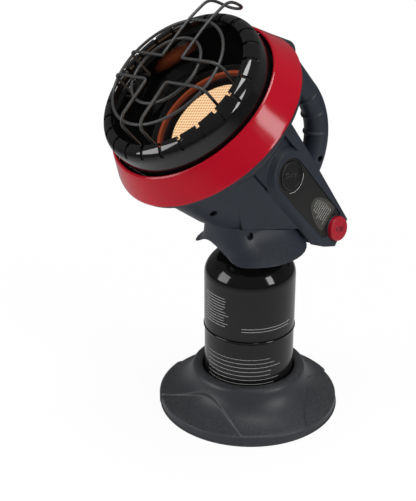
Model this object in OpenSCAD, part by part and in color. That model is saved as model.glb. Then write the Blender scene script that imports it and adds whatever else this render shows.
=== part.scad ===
// Portable propane heater: a tilted burner head on a one-pound gas cylinder that stands in a wide foot.
// Millimetres. X right, Y back, Z up; origin at the centre of the foot's underside, on the cylinder axis.

/* [Foot] */
// Outer radius of the foot
foot_radius = 100; // [96:0.5:104]
// Height of the rim of the foot
foot_rim_height = 12; // [10:0.5:14]
// Height of the collar that holds the cylinder
collar_height = 46; // [42:0.5:50]
// Wall thickness of the foot moulding
foot_wall = 3; // [2.4:0.1:3.4]
// Step between the raised three-sided field and the three leaf-shaped fields
leaf_step = 1.8; // [1:0.1:2.2]
// Radius of the three arcs that bound the raised field
leaf_arc_radius = 178; // [170:1:190]
// Gap between collar and cylinder
socket_gap = 1.1; // [0.6:0.1:1.6]

/* [Gas cylinder] */
// Outer radius of the upper cylinder shell
cylinder_radius = 49.5; // [49:0.1:50]
// Height at which the cylinder's bottom rests
cylinder_bottom = 6; // [5:0.5:7]
// Height of the weld seam
seam_height = 98.4; // [94:0.2:102]
// Height at which the shoulder begins
shoulder_height = 160; // [157:0.5:161]
// Height of the top of the dome, below the valve boss
dome_height = 191; // [189:0.5:192]
// Height of the top of the valve boss
boss_top = 207; // [206:0.5:208]
// Radius of the thread on the valve boss, a one inch thread
thread_radius = 12.6; // [12.5:0.05:12.7]
// Sheet thickness of the cylinder
cylinder_wall = 1; // [0.8:0.1:1.2]

/* [Skirt] */
// Radius of the lower edge of the skirt
skirt_radius = 60; // [59:0.5:61]
// Height of the lower edge of the skirt
skirt_bottom = 192; // [190:0.5:193]
// Height of the crown of the arch at the front of the skirt
skirt_arch_height = 209; // [207:0.5:210]
// Half width of the arch at the front of the skirt
skirt_arch_half = 42; // [40:0.5:44]
// Wall thickness of the skirt
skirt_wall = 2.2; // [2:0.1:2.4]

/* [Housing] */
// Lean of the head from upright, in degrees
head_tilt = 40; // [39.5:0.1:40.5]
// Distance of the centre of the head opening in front of the cylinder axis
head_reach = 75.5; // [75:0.1:76]
// Height of the centre of the head opening
head_height = 368.1; // [367.5:0.1:368.7]
// Wall thickness of the housing
housing_wall = 2.6; // [2.3:0.1:2.9]
// Radius of the flange behind the bezel ring
flange_radius = 105.4; // [104.8:0.1:106]
// Half width of the flat-sided neck
neck_half_width = 32; // [31:0.5:33]
// Gap left between the two housing halves
half_gap = 0.15; // [0.15:0.05:0.2]

/* [Handle] */
// Radius of the handle's round section
grip_radius = 13; // [12.5:0.1:13.5]
// Radius of the handle's bend, to the middle of the grip
grip_bend = 80; // [79:0.5:81]
// Height of the bulge of the three finger ridges
ridge_bulge = 1.2; // [0.8:0.1:1.5]

/* [Bezel ring] */
// Outer radius of the bezel at its front edge
bezel_front_radius = 94.1; // [93.6:0.1:94.6]
// Outer radius of the bezel at its rear edge
bezel_rear_radius = 107.6; // [107:0.1:108]
// Depth of the bezel along the head axis
bezel_depth = 29.2; // [28.8:0.1:29.4]

/* [Shroud and bowl] */
// Outer radius of the shroud's wall
shroud_radius = 89.5; // [89:0.1:90]
// Height of the shroud's crest in front of the bezel edge
shroud_crest = 28; // [27:0.5:29]
// Radius of the rounded shoulder of the shroud
shroud_round = 12; // [11:0.5:13]
// Radius of the shroud's opening
shroud_opening = 75.5; // [74.5:0.5:76.5]
// Sheet thickness of shroud and bowl
sheet = 1; // [0.8:0.1:1.2]
// Number of slots round the crest
slot_count = 24; // [20:1:28]
// Width of a slot
slot_width = 3.6; // [3:0.1:4.2]
// Depth of a slot below the crest
slot_depth = 9; // [7:0.5:10]

/* [Burner] */
// Radius of the ceramic plaque
plaque_radius = 50; // [49:0.5:50.5]
// Visible radius of the plaque inside the rim
rim_inner_radius = 48; // [47:0.5:48.5]
// Outer radius of the burner rim
rim_radius = 62; // [61.5:0.1:62.5]
// Distance of the plaque face behind the bezel edge
burner_depth = 40; // [39:0.5:41]
// Thickness of the plaque
plaque_thickness = 12; // [11:0.5:12.5]

/* [Guard] */
// Diameter of the guard wire
wire_diameter = 3; // [2.8:0.1:3.2]
// Spacing of the two wires of each arm of the cross
wire_pair_spacing = 28.5; // [27:0.5:30]
// Turn of the cross about the head axis, in degrees
guard_turn = 11; // [9:0.5:13]
// Height of the cross in front of the bezel edge
guard_height = 46; // [45:0.5:47]
// Radius of the inner ring
guard_inner_ring = 39.4; // [38:0.2:41]
// Radius of the outer ring
guard_outer_ring = 63; // [62.6:0.1:63.2]

/* [Controls] */
// Radius of the OFF button
off_radius = 15.5; // [15:0.1:16]
// Travel of the OFF button
off_travel = 3; // [2:0.5:3]
// Radius of the ON button
on_radius = 13.5; // [13.2:0.1:13.8]
// Travel of the ON button
on_travel = 5; // [4:0.5:5]
// Distance between the centres of the two buttons
button_spacing = 98; // [97:0.5:99]
// Radial running gap round each button
button_gap = 0.3; // [0.3:0.05:0.4]

/* [Hidden] */
$fn = 96;
clear = 0.3;
eps = 0.02;
joint_swell = 0.08;
big = 400;
// Foot
socket_radius = cylinder_radius + socket_gap;
leaf_spacing = 120;
leaf_bisector = -78;
leaf_centre = leaf_arc_radius + 66.5;
floor_top = cylinder_bottom - clear;
rib_count = 9;
// Cylinder
lower_radius = cylinder_radius - 0.4;
bead_radius = cylinder_radius + 0.8;
bottom_round = 12;
neck_radius = 16;
boss_bore = 6;
seat_height = boss_top + clear;
// Skirt and neck
skirt_screw_y = -24;
skirt_screw_z = 219;
skirt_tab_x = 24;
skirt_top_half = 31;
neck_plane_height = 220.4;
neck_plane_fall = 13.06;
// Housing shapes, in head coordinates: x right, y up the face, z out of the face
flange_front = bezel_depth + clear;
cone_rear = 97;
cone_rear_radius = 36;
draft = 12;
section_lower = -15;
section_half = 36.6;
screw_head_radius = 3;
screw_radius = 1.5;
pilot_radius = 1.3;
// Panel coordinates: origin at the OFF button on the panel face
pod_rise = 6;
pod_radius = 33;
off_x = 30;
off_y = 19;
off_z = -140;
panel_wall = 3;
pocket = 1.4;
plate_thickness = 1.1;
letter_turn = 33;
on_top = 6;
off_top = 0.8;
flange_top = -panel_wall - clear;
button_flange = 1.6;
// The post under each button ends here; what stands behind it is clear of the pressed post.
post_radius = 3.6;
off_post_end = flange_top - 14;
on_post_end = -13;
cutoff_pocket_floor = off_post_end - off_travel - 0.7;
piezo_top = on_post_end - on_travel - 2.2;
// Handle in side view: y back, z up
bend_y = 4;
bend_z = 300;
bend_top = 38;
bend_low = -36;
grip_straight = 62;
// Guard
wire = wire_diameter / 2;
corner = wire_pair_spacing / 2;
arm_reach = 66;
foot_reach = 81.4;
leg_round = 5;
foot_level = 6;
loop_bend = 84;
loop_reach = 98;
loop_drop = 25;
outer_ring_drop = 4.4;
// Gas way
jet_axis_depth = 130;
tube_radius = 3;
regulator_radius = 24;
// The straight runs of the handle start this far inside its bend, and are this much thinner.
grip_lap = 1;
grip_step = 0.12;
regulator_top = 227;
// Inside the housing
shroud_flange = -23;
shroud_screw_circle = 95;
// The inner edge of the shroud is rolled over by this radius and turned down this far.
lip_round = 2;
lip_drop = 2;
// The igniter lead comes up beside the burner here, through holes in what it passes.
lead_x = 31.7;
lead_y = -43.6;
lead_radius = 1.3;
// The rim of the bowl follows the crest of the shroud from inside as far as this radius.
bowl_rim_end = 80.3;
seat_reach = shroud_screw_circle / sqrt(2);
shelf_length = 10.8;
switch_post_reach = 20.8;
switch_ear_top = -26;
piezo_radius = 7;
tip_switch_x = 16;
tip_switch_radius = 7;
colour_body = [0.20, 0.22, 0.25];
colour_foot = [0.17, 0.18, 0.19];
colour_black = [0.06, 0.06, 0.06];
colour_red = [0.70, 0.02, 0.08];
colour_wire = [0.16, 0.16, 0.17];
colour_brass = [0.78, 0.62, 0.30];
colour_steel = [0.62, 0.63, 0.65];
colour_ceramic = [0.90, 0.78, 0.62];
colour_copper = [0.72, 0.42, 0.26];

// Head coordinates: the origin is the centre of the bezel's front edge, z runs out of the face.
module in_head() {
    translate([0, -head_reach, head_height])
        rotate([head_tilt, 0, 0])
            children();
}

// Panel coordinates: x runs down the arm, y across it, z straight out of the panel.
module in_panel() {
    in_head()
        translate([off_x, off_y, off_z])
            rotate([0, 0, draft])
                rotate([0, 90, 0])
                    children();
}

// Side view coordinates: the child lies in the plane of y and z and is extruded along x.
module from_side(half_width) {
    rotate([90, 0, 90])
        linear_extrude(2 * half_width, center = true)
            children();
}

// Side view in head coordinates: first value is the distance behind the face, second is height.
module from_head_side(half_width) {
    rotate([0, 90, 0])
        linear_extrude(2 * half_width, center = true)
            children();
}

// A straight round rod between two points.
module rod(from, to, radius) {
    run = to - from;
    length = norm(run);
    translate(from)
        rotate([0, acos(run[2] / length), atan2(run[1], run[0])])
            cylinder(h = length, r = radius);
}

// A rod that follows a list of points, with a ball at every bend.
module path_rod(points, radius) {
    for (i = [0 : len(points) - 2])
        rod(points[i], points[i + 1], radius);
    for (i = [1 : len(points) - 2])
        translate(points[i])
            rotate([31, 47, 0])
                sphere(r = radius + joint_swell);
}

// ---- Foot ----

// Points of a smooth curve through two ends with two handles.
function curve(a, b, c, d, steps) = [for (i = [0 : steps])
    let (t = i / steps, u = 1 - t)
    a * u * u * u + b * 3 * u * u * t + c * 3 * u * t * t + d * t * t * t];

// Outline of the foot's shell; sink lowers the outer field by the leaf step.
module foot_profile(sink) {
    edge = foot_radius - sink;
    polygon(concat([[0, 0], [edge, 0], [edge, foot_rim_height - 3 - sink]],
        curve([edge, foot_rim_height - 3 - sink], [edge - 0.2, foot_rim_height - 0.8 - sink],
            [edge - 2, foot_rim_height + 0.2 - sink], [edge - 5, foot_rim_height + 1 - sink], 5),
        curve([edge - 5, foot_rim_height + 1 - sink], [80, foot_rim_height + 4.5 - sink],
            [66, foot_rim_height + 12 - sink], [63.4, collar_height - 5], 12),
        [[62.2, collar_height - 1.8], [60.4, collar_height], [57, collar_height + 0.6],
            [53, collar_height + 0.5], [socket_radius, collar_height - 0.6],
            [0, collar_height - 0.6]]));
}

module foot_hollow_profile() {
    edge = foot_radius - foot_wall - leaf_step;
    polygon(concat([[socket_radius + foot_wall, -1], [edge, -1]],
        curve([edge, foot_rim_height - foot_wall - leaf_step - 1.6],
            [78, foot_rim_height - leaf_step + 0.6], [63, foot_rim_height + 8],
            [60.2, collar_height - 8], 10),
        [[58, collar_height - 4], [socket_radius + foot_wall, collar_height - 4]]));
}

module foot() {
    color(colour_foot)
        difference() {
            union() {
                difference() {
                    union() {
                        rotate_extrude()
                            foot_profile(leaf_step);
                        difference() {
                            rotate_extrude()
                                foot_profile(0);
                            leaf_discs();
                        }
                    }
                    rotate_extrude()
                        foot_hollow_profile();
                }
                foot_ribs();
            }
            translate([0, 0, floor_top])
                cylinder(h = big, r = socket_radius);
            for (i = [0 : 2])
                rotate([0, 0, leaf_bisector + i * leaf_spacing])
                    translate([20, 0, -1])
                        cylinder(h = big, r = 4);
        }
}

// Three large discs, each cutting one leaf-shaped field out of the raised field.
module leaf_discs() {
    for (i = [0 : 2])
        rotate([0, 0, leaf_bisector + i * leaf_spacing])
            translate([leaf_centre, 0, -1])
                cylinder(h = 60, r = leaf_arc_radius, $fn = 240);
}

module foot_ribs() {
    for (i = [0 : rib_count - 1])
        rotate([0, 0, i * 360 / rib_count])
            translate([socket_radius + 1, -1, 1])
                cube([foot_radius - socket_radius - 4, 2, foot_rim_height - foot_wall - 3]);
}

// ---- Gas cylinder ----

// Half section of the upper shell; inset moves it inward by the sheet thickness.
module upper_profile(inset) {
    r = cylinder_radius - inset;
    top = dome_height - inset;
    polygon([[0, seam_height], [r, seam_height], [r, shoulder_height], [r - 0.8, shoulder_height + 5],
        [r - 3, shoulder_height + 10], [r - 6.5, shoulder_height + 15],
        [r - 11.5, shoulder_height + 20], [r - 18, shoulder_height + 24.6],
        [r - 25, top - 2.9], [neck_radius, top], [0, top]]);
}

module cylinder_upper() {
    color(colour_black)
        difference() {
            rotate_extrude()
                upper_profile(0);
            rotate_extrude()
                difference() {
                    upper_profile(cylinder_wall);
                    translate([-1, 0])
                        square([1, big]);
                }
            translate([0, 0, seam_height - 1])
                cylinder(h = 1 + 2 * eps, r = cylinder_radius - cylinder_wall);
            translate([0, 0, dome_height - 5])
                cylinder(h = 10, r = neck_radius - 3);
            rotate([0, 0, 90])
                translate([26, 0, dome_height - 20])
                    cylinder(h = 30, r = 3.6);
        }
}

module cylinder_lower() {
    top = seam_height - clear;
    color(colour_black)
        difference() {
            union() {
                rotate_extrude()
                    polygon([[0, cylinder_bottom + 7], [26, cylinder_bottom + 4], [34, cylinder_bottom],
                        [38.5, cylinder_bottom], [lower_radius - 5, cylinder_bottom + 2.2],
                        [lower_radius - 1.6, cylinder_bottom + 6], [lower_radius, cylinder_bottom + bottom_round],
                        [lower_radius, top - 2.6], [bead_radius, top - 1.8], [bead_radius, top], [0, top]]);
            }
            rotate_extrude()
                polygon([[0, cylinder_bottom + 8], [26.4, cylinder_bottom + 5],
                    [34, cylinder_bottom + 1.2], [38, cylinder_bottom + 1.2],
                    [lower_radius - 6, cylinder_bottom + 3.4], [lower_radius - 2.6, cylinder_bottom + 7],
                    [lower_radius - 1, cylinder_bottom + bottom_round + 0.5],
                    [lower_radius - 1, top + 1], [0, top + 1]]);
        }
}

module cylinder_valve() {
    color(colour_steel)
        difference() {
            union() {
                translate([0, 0, dome_height - 6])
                    cylinder(h = 6 + clear, r = neck_radius - 3 - 0.05);
                translate([0, 0, dome_height + clear])
                    cylinder(h = 2, r = neck_radius);
                translate([0, 0, dome_height + clear])
                    cylinder(h = boss_top - dome_height - clear - 1, r = thread_radius);
                translate([0, 0, boss_top - 1])
                    cylinder(h = 1, r1 = thread_radius, r2 = thread_radius - 1);
            }
            translate([0, 0, boss_top - 7])
                cylinder(h = 8, r = boss_bore);
            translate([0, 0, dome_height - 7])
                cylinder(h = 30, r = 2);
        }
}

module relief_valve() {
    color(colour_brass)
        rotate([0, 0, 90])
            translate([26, 0, 0]) {
                translate([0, 0, dome_height - 9])
                    cylinder(h = 11.5, r = 3.3);
                translate([0, 0, dome_height - 0.5])
                    cylinder(h = 3, r = 3.3, $fn = 32);
            }
}

// ---- Skirt ----

// Level slice of the skirt: a long oval with round ends, half width across and reach front and back.
module skirt_slice(height, half_width, front, back, round) {
    translate([0, 0, height])
        linear_extrude(0.5)
            hull() {
                translate([half_width - round, -front + round])
                    circle(r = round, $fn = 40);
                translate([-half_width + round, -front + round])
                    circle(r = round, $fn = 40);
                translate([half_width - round, back - round])
                    circle(r = round, $fn = 40);
                translate([-half_width + round, back - round])
                    circle(r = round, $fn = 40);
            }
}

module skirt_solid(inset) {
    hull() {
        skirt_slice(skirt_bottom - 0.5, skirt_radius - inset, skirt_radius - inset, skirt_radius - inset,
            skirt_radius - inset - eps);
        skirt_slice(skirt_bottom + 7, 49 - inset, 54.5 - inset, 54.5 - inset, 48 - inset);
    }
    hull() {
        skirt_slice(skirt_bottom + 7, 49 - inset, 54.5 - inset, 54.5 - inset, 48 - inset);
        skirt_slice(skirt_bottom + 17, 36 - inset, 52.6 - inset, 51 - inset, 35 - inset);
    }
    hull() {
        skirt_slice(skirt_bottom + 17, 36 - inset, 52.6 - inset, 51 - inset, 35 - inset);
        skirt_slice(skirt_bottom + 28, skirt_top_half - inset, 52.6 - inset, 49 - inset, 30 - inset);
    }
    hull() {
        skirt_slice(skirt_bottom + 28, skirt_top_half - inset, 52.6 - inset, 49 - inset, 30 - inset);
        skirt_slice(skirt_bottom + 46, skirt_top_half - inset, 52.6 - inset, 49 - inset, 30 - inset);
    }
}

module skirt() {
    color(colour_body)
        difference() {
            union() {
                difference() {
                    skirt_solid(0);
                    translate([0, 0, -eps])
                        skirt_solid(skirt_wall);
                }
                intersection() {
                    skirt_solid(eps);
                    for (side = [-1, 1])
                        from_side_wall(side, skirt_tab_x + clear)
                            cylinder(h = 12, r = 5.4);
                }
            }
            translate([0, 0, skirt_bottom - 3])
                cylinder(h = 3, r = skirt_radius + 5);
            below_neck_plane(-clear, 1);
            skirt_arch();
            in_head()
                from_head_side(section_half + 1)
                    polygon([[160, section_lower - clear], [260, section_lower - clear], [260, 80],
                        [160, 80]]);
            for (side = [-1, 1]) {
                from_side_wall(side, skirt_tab_x + 2.4)
                    cylinder(h = 40, r = 3.8);
                from_side_wall(side, skirt_tab_x - 1)
                    cylinder(h = 20, r = 1.75);
            }
        }
}

// Child placed on a skirt screw's axis, pointing outward from the distance given.
module from_side_wall(side, distance) {
    translate([side * distance, skirt_screw_y, skirt_screw_z])
        rotate([0, side * 90, 0])
            children();
}

// The arch that lifts the skirt's lower edge at the front.
module skirt_arch() {
    top = skirt_arch_height;
    half = skirt_arch_half;
    rotate([90, 0, 0])
        linear_extrude(90)
            polygon(concat([[-half - 4, skirt_bottom - 5], [half + 4, skirt_bottom - 5]],
                curve([half + 4, skirt_bottom], [half - 14, skirt_bottom], [half * 0.38, top],
                    [0, top], 12),
                curve([0, top], [-half * 0.38, top], [14 - half, skirt_bottom],
                    [-half - 4, skirt_bottom], 12)));
}

// The plane between neck and skirt falls toward the back; side -1 keeps below, 1 removes above.
module below_neck_plane(offset, side) {
    translate([0, 0, neck_plane_height + offset])
        rotate([-neck_plane_fall, 0, 0])
            translate([-big / 2, -big / 2, side > 0 ? 0 : -big])
                cube([big, big, big]);
}
module skirt_screws() {
    color(colour_steel)
        for (side = [-1, 1]) {
            from_side_wall(side, skirt_tab_x + 2.4 + clear)
                cylinder(h = 1.8, r = 2.8);
            from_side_wall(side, skirt_tab_x - 8)
                cylinder(h = 8 + 2.4 + clear + eps, r = 1.4);
        }
}

// Tab inside each half that takes the skirt screw.
module skirt_tab(side) {
    lift = 12;
    difference() {
        translate([side > 0 ? skirt_tab_x - 6 : -neck_half_width + 1, skirt_screw_y - 5, skirt_screw_z - 5])
            cube([neck_half_width - 1 - skirt_tab_x + 6, 10, 10 + lift]);
        translate([side > 0 ? skirt_tab_x : -neck_half_width, skirt_screw_y - 6, skirt_screw_z - 6])
            cube([neck_half_width - skirt_tab_x, 12, 6 + 9.6]);
        from_side_wall(side, 0)
            cylinder(h = 60, r = 1.45);
    }
}

// ---- Housing ----

// Cone behind the bezel with its flange; inset makes the hollow.
module head_cone(inset) {
    in_head()
        rotate_extrude()
            polygon([[0, -flange_front + (inset > 0 ? 10 : 0)],
                [flange_radius - inset - (inset > 0 ? 4 : 0), -flange_front + (inset > 0 ? 10 : 0)],
                [flange_radius - inset - (inset > 0 ? 4 : 0), -flange_front - (inset > 0 ? 3 : 5)],
                [cone_rear_radius - inset * 0.4, -cone_rear + inset], [0, -cone_rear + inset]]);
}

// Rounded front of the neck: a leaning round bar cut off at the neck plane.
module neck_nose(inset) {
    translate([0, -41.7, 256.5])
        rotate([53, 0, 0])
            translate([0, 0, -60])
                cylinder(h = 118, r = neck_half_width - inset);
}

// Flat flanks of the neck, a hair inside the round nose so that both meet in a clean edge.
module neck_side(inset) {
    from_side(neck_half_width - inset - 0.08)
        polygon([[-102, 302], [-66, 316], [0, 330], [56 - inset, 262], [58 - inset, 200],
            [-24, 200], [-41.7, 256.5]]);
}

module neck(inset) {
    difference() {
        intersection() {
            union() {
                neck_nose(inset);
                neck_side(inset);
            }
            in_head()
                translate([0, 0, -cone_rear - 170])
                    cylinder(h = 170 + cone_rear - flange_front - 6, r = flange_radius - 8);
        }
        below_neck_plane(inset > 0 ? -6 : 0, -1);
        in_head()
            translate([-60, section_lower + 3, -300])
                cube([120, 200, 300 - cone_rear + inset]);
    }
}

// Arm that carries the panel: a box section along the head axis with a raised pod on each side,
// trimmed to the side outline.
module arm(inset) {
    in_head()
        intersection() {
            union() {
                arm_bar(pod_rise + inset, inset);
                intersection() {
                    arm_bar(inset, inset);
                    for (side = [0, 1])
                        mirror([side, 0, 0])
                            pod_zone(inset);
                }
            }
            from_head_side(60)
                arm_outline(inset);
        }
}

module arm_bar(side_inset, inset) {
    translate([0, 0, -252])
        linear_extrude(172)
            arm_section(side_inset, inset);
}

module arm_section(side_inset, inset) {
    lower = section_lower + inset;
    half = section_half - side_inset;
    polygon([[half - 7, lower], [half, lower + 6], [half - 11.9, 50 - inset],
        [half - 21, 64 - inset], [-half + 21, 64 - inset], [-half + 11.9, 50 - inset],
        [-half, lower + 6], [-half + 7, lower]]);
}

// Layer that holds the pod: a round end about the OFF button with a sloping rim, straight below it.
module pod_zone(inset) {
    radius = pod_radius - inset;
    depth = pod_rise + 1;
    translate([off_x, off_y, off_z])
        rotate([0, 0, draft])
            rotate([0, 90, 0])
                translate([0, 0, -pod_rise - inset]) {
                    cylinder(h = depth, r1 = radius, r2 = radius - depth);
                    difference() {
                        translate([0, -60, 0])
                            cube([150, 120, depth]);
                        translate([-5, -radius, 0])
                            rotate([45, 0, 0])
                                translate([0, -30, 0])
                                    cube([160, 70, 60]);
                    }
                    translate([-70, 24 + inset, 0])
                        cube([71, 40, depth]);
                }
}

module arm_outline(inset) {
    polygon([[80, 60 - inset], [106, 57 - inset], [246 - inset, 36.4 - inset], [251 - inset, 4],
        [238 - inset, -5 + inset], [222 - inset, section_lower + inset],
        [80, section_lower + inset]]);
}

// Half of a round section, on one side of the parting plane.
module half_disc(radius, side) {
    intersection() {
        circle(r = radius);
        translate([-radius - 1, side > 0 ? half_gap : -radius - 1 - half_gap])
            square([2 * radius + 2, radius + 1]);
    }
}

// Half of the handle: a straight upper grip with a hub at its end, a bend and a root in the arm.
module half_handle(inset, side) {
    r = grip_radius - inset;
    translate([0, bend_y, bend_z])
        rotate([90, 0, 90]) {
            rotate([0, 0, bend_low])
                rotate_extrude(angle = bend_top - bend_low)
                    translate([grip_bend, 0])
                        half_disc(r, side);
            rotate([0, 0, bend_top])
                translate([grip_bend, -grip_lap, 0])
                    rotate([-90, 0, 0])
                        linear_extrude(grip_straight + grip_lap)
                            mirror([0, 1])
                                half_disc(r - grip_step, side);
            rotate([0, 0, bend_low])
                translate([grip_bend, grip_lap, 0])
                    rotate([90, 0, 0])
                        linear_extrude(20 + grip_lap)
                            half_disc(r - grip_step, side);
            rotate([0, 0, bend_top])
                translate([grip_bend, grip_straight, side > 0 ? half_gap : 1 - r])
                    cylinder(h = r - 1 - half_gap, r = r + 1.4);
        }
}

// Three ridges that part the fingers on the inside of the bend.
module half_ridges(side) {
    translate([0, bend_y, bend_z])
        rotate([90, 0, 90])
            for (a = [2, 18.5, 35])
                rotate([0, 0, a])
                    translate([grip_bend - ridge_bulge, 0, side * half_gap])
                        rotate([90, side > 0 ? 0 : 180, 0])
                            rotate_extrude(angle = 180)
                                translate([grip_radius - 1.6, 0])
                                    circle(r = 2.2, $fn = 32);
}

// Bridge between the upper end of the handle and the back of the cone.
module handle_bridge(inset) {
    in_head()
        translate([0, 0, -flange_front - 5.2])
            rotate([0, 180, 0])
                translate([0, 97 - inset * 0.3, -1])
                    cylinder(h = 17 - inset, r = 12 - inset);
}

module housing_body(inset) {
    head_cone(inset);
    neck(inset);
    arm(inset);
    handle_bridge(inset);
}

// Points of the four screws that clamp the halves: y and z.
clamp_points = [[-66, 253], [81, 275], [55, 222], [28.5, 399]];

module screw_bores(point) {
    translate([4, point[0], point[1]])
        rotate([0, 90, 0])
            cylinder(h = 60, r = 3.5);
    translate([-eps, point[0], point[1]])
        rotate([0, 90, 0])
            cylinder(h = 10, r = 1.75);
    translate([-9, point[0], point[1]])
        rotate([0, 90, 0])
            cylinder(h = 10, r = pilot_radius + 0.25);
}

// Everything cut from the right half so that panel and buttons have room.
module panel_cuts() {
    in_panel() {
        cylinder(h = 40, r = off_radius + button_gap, center = true);
        translate([button_spacing, 0, 0])
            cylinder(h = 34, r = on_radius + button_gap, center = true);
        translate([0, 0, -pocket])
            linear_extrude(pocket + 4)
                plate_outline(0.3);
    }
}

// Wall under the label plate, as thick as the rest of the panel.
module panel_backing() {
    in_panel()
        translate([0, 0, -panel_wall])
            linear_extrude(panel_wall - pocket + 0.5)
                plate_outline(2);
}

module housing_half(side) {
    color(colour_body)
        difference() {
            union() {
                difference() {
                    union() {
                        difference() {
                            housing_body(0);
                            far_side(side);
                        }
                        half_handle(0, side);
                        half_ridges(side);
                    }
                    housing_body(housing_wall);
                    half_handle(housing_wall, side);
                }
                bosses(side);
                skirt_tab(side);
                if (side > 0)
                    panel_backing();
            }
            for (p = clamp_points)
                screw_bores(p);
            housing_cuts_for(side);
        }
    color(colour_body)
        inner_ribs(side);
}

// Everything beyond the parting plane, seen from one half.
module far_side(side) {
    translate([side > 0 ? half_gap - big : -half_gap, -big / 2, 0])
        cube([big, big, 2 * big]);
}

// The screw bosses of one half, trimmed to the inside of the walls.
module bosses(side) {
    intersection() {
        union() {
            housing_body(0.5);
            half_handle(0.5, side);
        }
        for (p = clamp_points)
            translate([side > 0 ? half_gap : -half_gap - 34, p[0], p[1]])
                rotate([0, 90, 0])
                    cylinder(h = 34, r = 5.2);
    }
}

// Ribs and posts inside one half that carry the shroud, the regulator, the jet and the switches.
module inner_ribs(side) {
    in_head() {
        for (v = [-1, 1])
            translate([side * seat_reach, v * seat_reach, 0])
                shroud_seat();
        translate([side > 0 ? 22 : -22 - shelf_length, -10, -jet_axis_depth - 6 - clear - 3])
            cube([shelf_length, 8, 3]);
    }
    regulator_rib(side);
    if (side > 0)
        in_panel() {
            for (turn = [0, 90])
                rotate([0, 0, turn])
                    translate([switch_post_reach, 0, switch_ear_top + clear])
                        cylinder(h = -2 - switch_ear_top - clear, r = 3);
            translate([button_spacing, 0, -28])
                piezo_sleeve();
        }
    if (side < 0) {
        translate([-29, 74, 224])
            rotate([0, 90, 0])
                cylinder(h = 29 - 9 - clear, r = 4);
        translate([-31, 36, 240])
            cube([31 - tip_switch_x - tip_switch_radius - clear, 8, 12]);
    }
}

module shroud_seat() {
    difference() {
        translate([0, 0, -39.5])
            cylinder(h = 39.5 + shroud_flange - clear, r = 4);
        translate([0, 0, -31])
            cylinder(h = 20, r = 1.5);
    }
}

// Rib that holds the rim of the regulator, with a lip over its cover.
module regulator_rib(side) {
    difference() {
        translate([side > 0 ? 19 : -30.5, -6, 222.5])
            cube([11.5, 12, 12]);
        translate([0, 0, 200])
            cylinder(h = regulator_top + 3 + 2 * clear - 200, r = regulator_radius + clear);
    }
}

module piezo_sleeve() {
    difference() {
        union() {
            cylinder(h = 7, r = piezo_radius + clear + 2);
            translate([0, -3, 0])
                cube([11, 6, 7]);
        }
        translate([0, 0, -1])
            cylinder(h = 9, r = piezo_radius + clear);
    }
}

// Room for the cylinder's dome and for the shroud's skirt inside the bezel.
module housing_cuts_for(side) {
    if (side > 0)
        panel_cuts();
    translate([0, 0, 100])
        cylinder(h = dome_height - 98, r = cylinder_radius + 2);
    in_head()
        translate([0, 0, -flange_front - 2])
            cylinder(h = 30, r = 100.4);
}

module housing_right() {
    housing_half(1);
}

module housing_left() {
    housing_half(-1);
}

module housing_screws() {
    color(colour_steel)
        for (p = clamp_points)
            translate([0, p[0], p[1]])
                rotate([0, 90, 0]) {
                    translate([0, 0, 4 + clear])
                        cylinder(h = 2.2, r = screw_head_radius);
                    translate([0, 0, -8])
                        cylinder(h = 12.4, r = screw_radius);
                }
}

// ---- Bezel, shroud, bowl ----

module bezel_ring() {
    color(colour_red)
        in_head()
            rotate_extrude($fn = 180)
                polygon([[91.8, -3], [92, -0.8], [92.8, 0], [bezel_front_radius - 0.4, 0],
                    [bezel_front_radius + 0.9, -1], [bezel_front_radius + 2.4, -4],
                    [bezel_rear_radius - 0.6, -bezel_depth + 2], [bezel_rear_radius, -bezel_depth],
                    [bezel_rear_radius - 2.2, -bezel_depth], [bezel_rear_radius - 2.8, -bezel_depth + 2],
                    [bezel_front_radius + 0.2, -5], [92.6, -4]]);
}

module shroud_profile() {
    rc = shroud_radius - shroud_round;
    zc = shroud_crest - shroud_round;
    difference() {
        union() {
            translate([shroud_radius - sheet, shroud_flange])
                square([sheet, zc - shroud_flange]);
            difference() {
                translate([rc, zc])
                    circle(r = shroud_round);
                translate([rc, zc])
                    circle(r = shroud_round - sheet);
                translate([rc - 20, zc - 20])
                    square([20, 40]);
                translate([rc - 1, zc - 20])
                    square([30, 20]);
            }
            translate([shroud_opening + lip_round, shroud_crest - sheet])
                square([rc - shroud_opening - lip_round + eps, sheet]);
            translate([shroud_opening + lip_round, shroud_crest - lip_round])
                intersection() {
                    difference() {
                        circle(r = lip_round, $fn = 48);
                        circle(r = lip_round - sheet, $fn = 48);
                    }
                    translate([-lip_round, 0])
                        square(lip_round + eps);
                }
            translate([shroud_opening, shroud_crest - lip_round - lip_drop])
                square([sheet, lip_drop + eps]);
            translate([shroud_radius - sheet, shroud_flange])
                square([10.6, sheet]);
        }
    }
}

module shroud() {
    color(colour_black)
        in_head()
            difference() {
                rotate_extrude($fn = 144)
                    shroud_profile();
                for (i = [0 : slot_count - 1])
                    rotate([0, 0, (i + 0.5) * 360 / slot_count]) {
                        translate([shroud_opening - 3, -slot_width / 2, shroud_crest - slot_depth + slot_width / 2])
                            cube([20, slot_width, 20]);
                        translate([shroud_opening - 3, 0, shroud_crest - slot_depth + slot_width / 2])
                            rotate([0, 90, 0])
                                cylinder(h = 20, r = slot_width / 2, $fn = 24);
                    }
                for (i = [0 : 3])
                    rotate([0, 0, 45 + 90 * i])
                        translate([shroud_screw_circle, 0, shroud_flange - 7])
                            cylinder(h = 20, r = 1.7, $fn = 24);
            }
}

// Four screws through the shroud's flange into the housing.
module shroud_screws() {
    color(colour_steel)
        in_head()
            for (i = [0 : 3])
                rotate([0, 0, 45 + 90 * i])
                    translate([shroud_screw_circle, 0, shroud_flange]) {
                        translate([0, 0, sheet + clear])
                            cylinder(h = 2, r = 2.6, $fn = 32);
                        translate([0, 0, -7])
                            cylinder(h = 7 + sheet + clear + eps, r = 1.4, $fn = 32);
                    }
}

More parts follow.
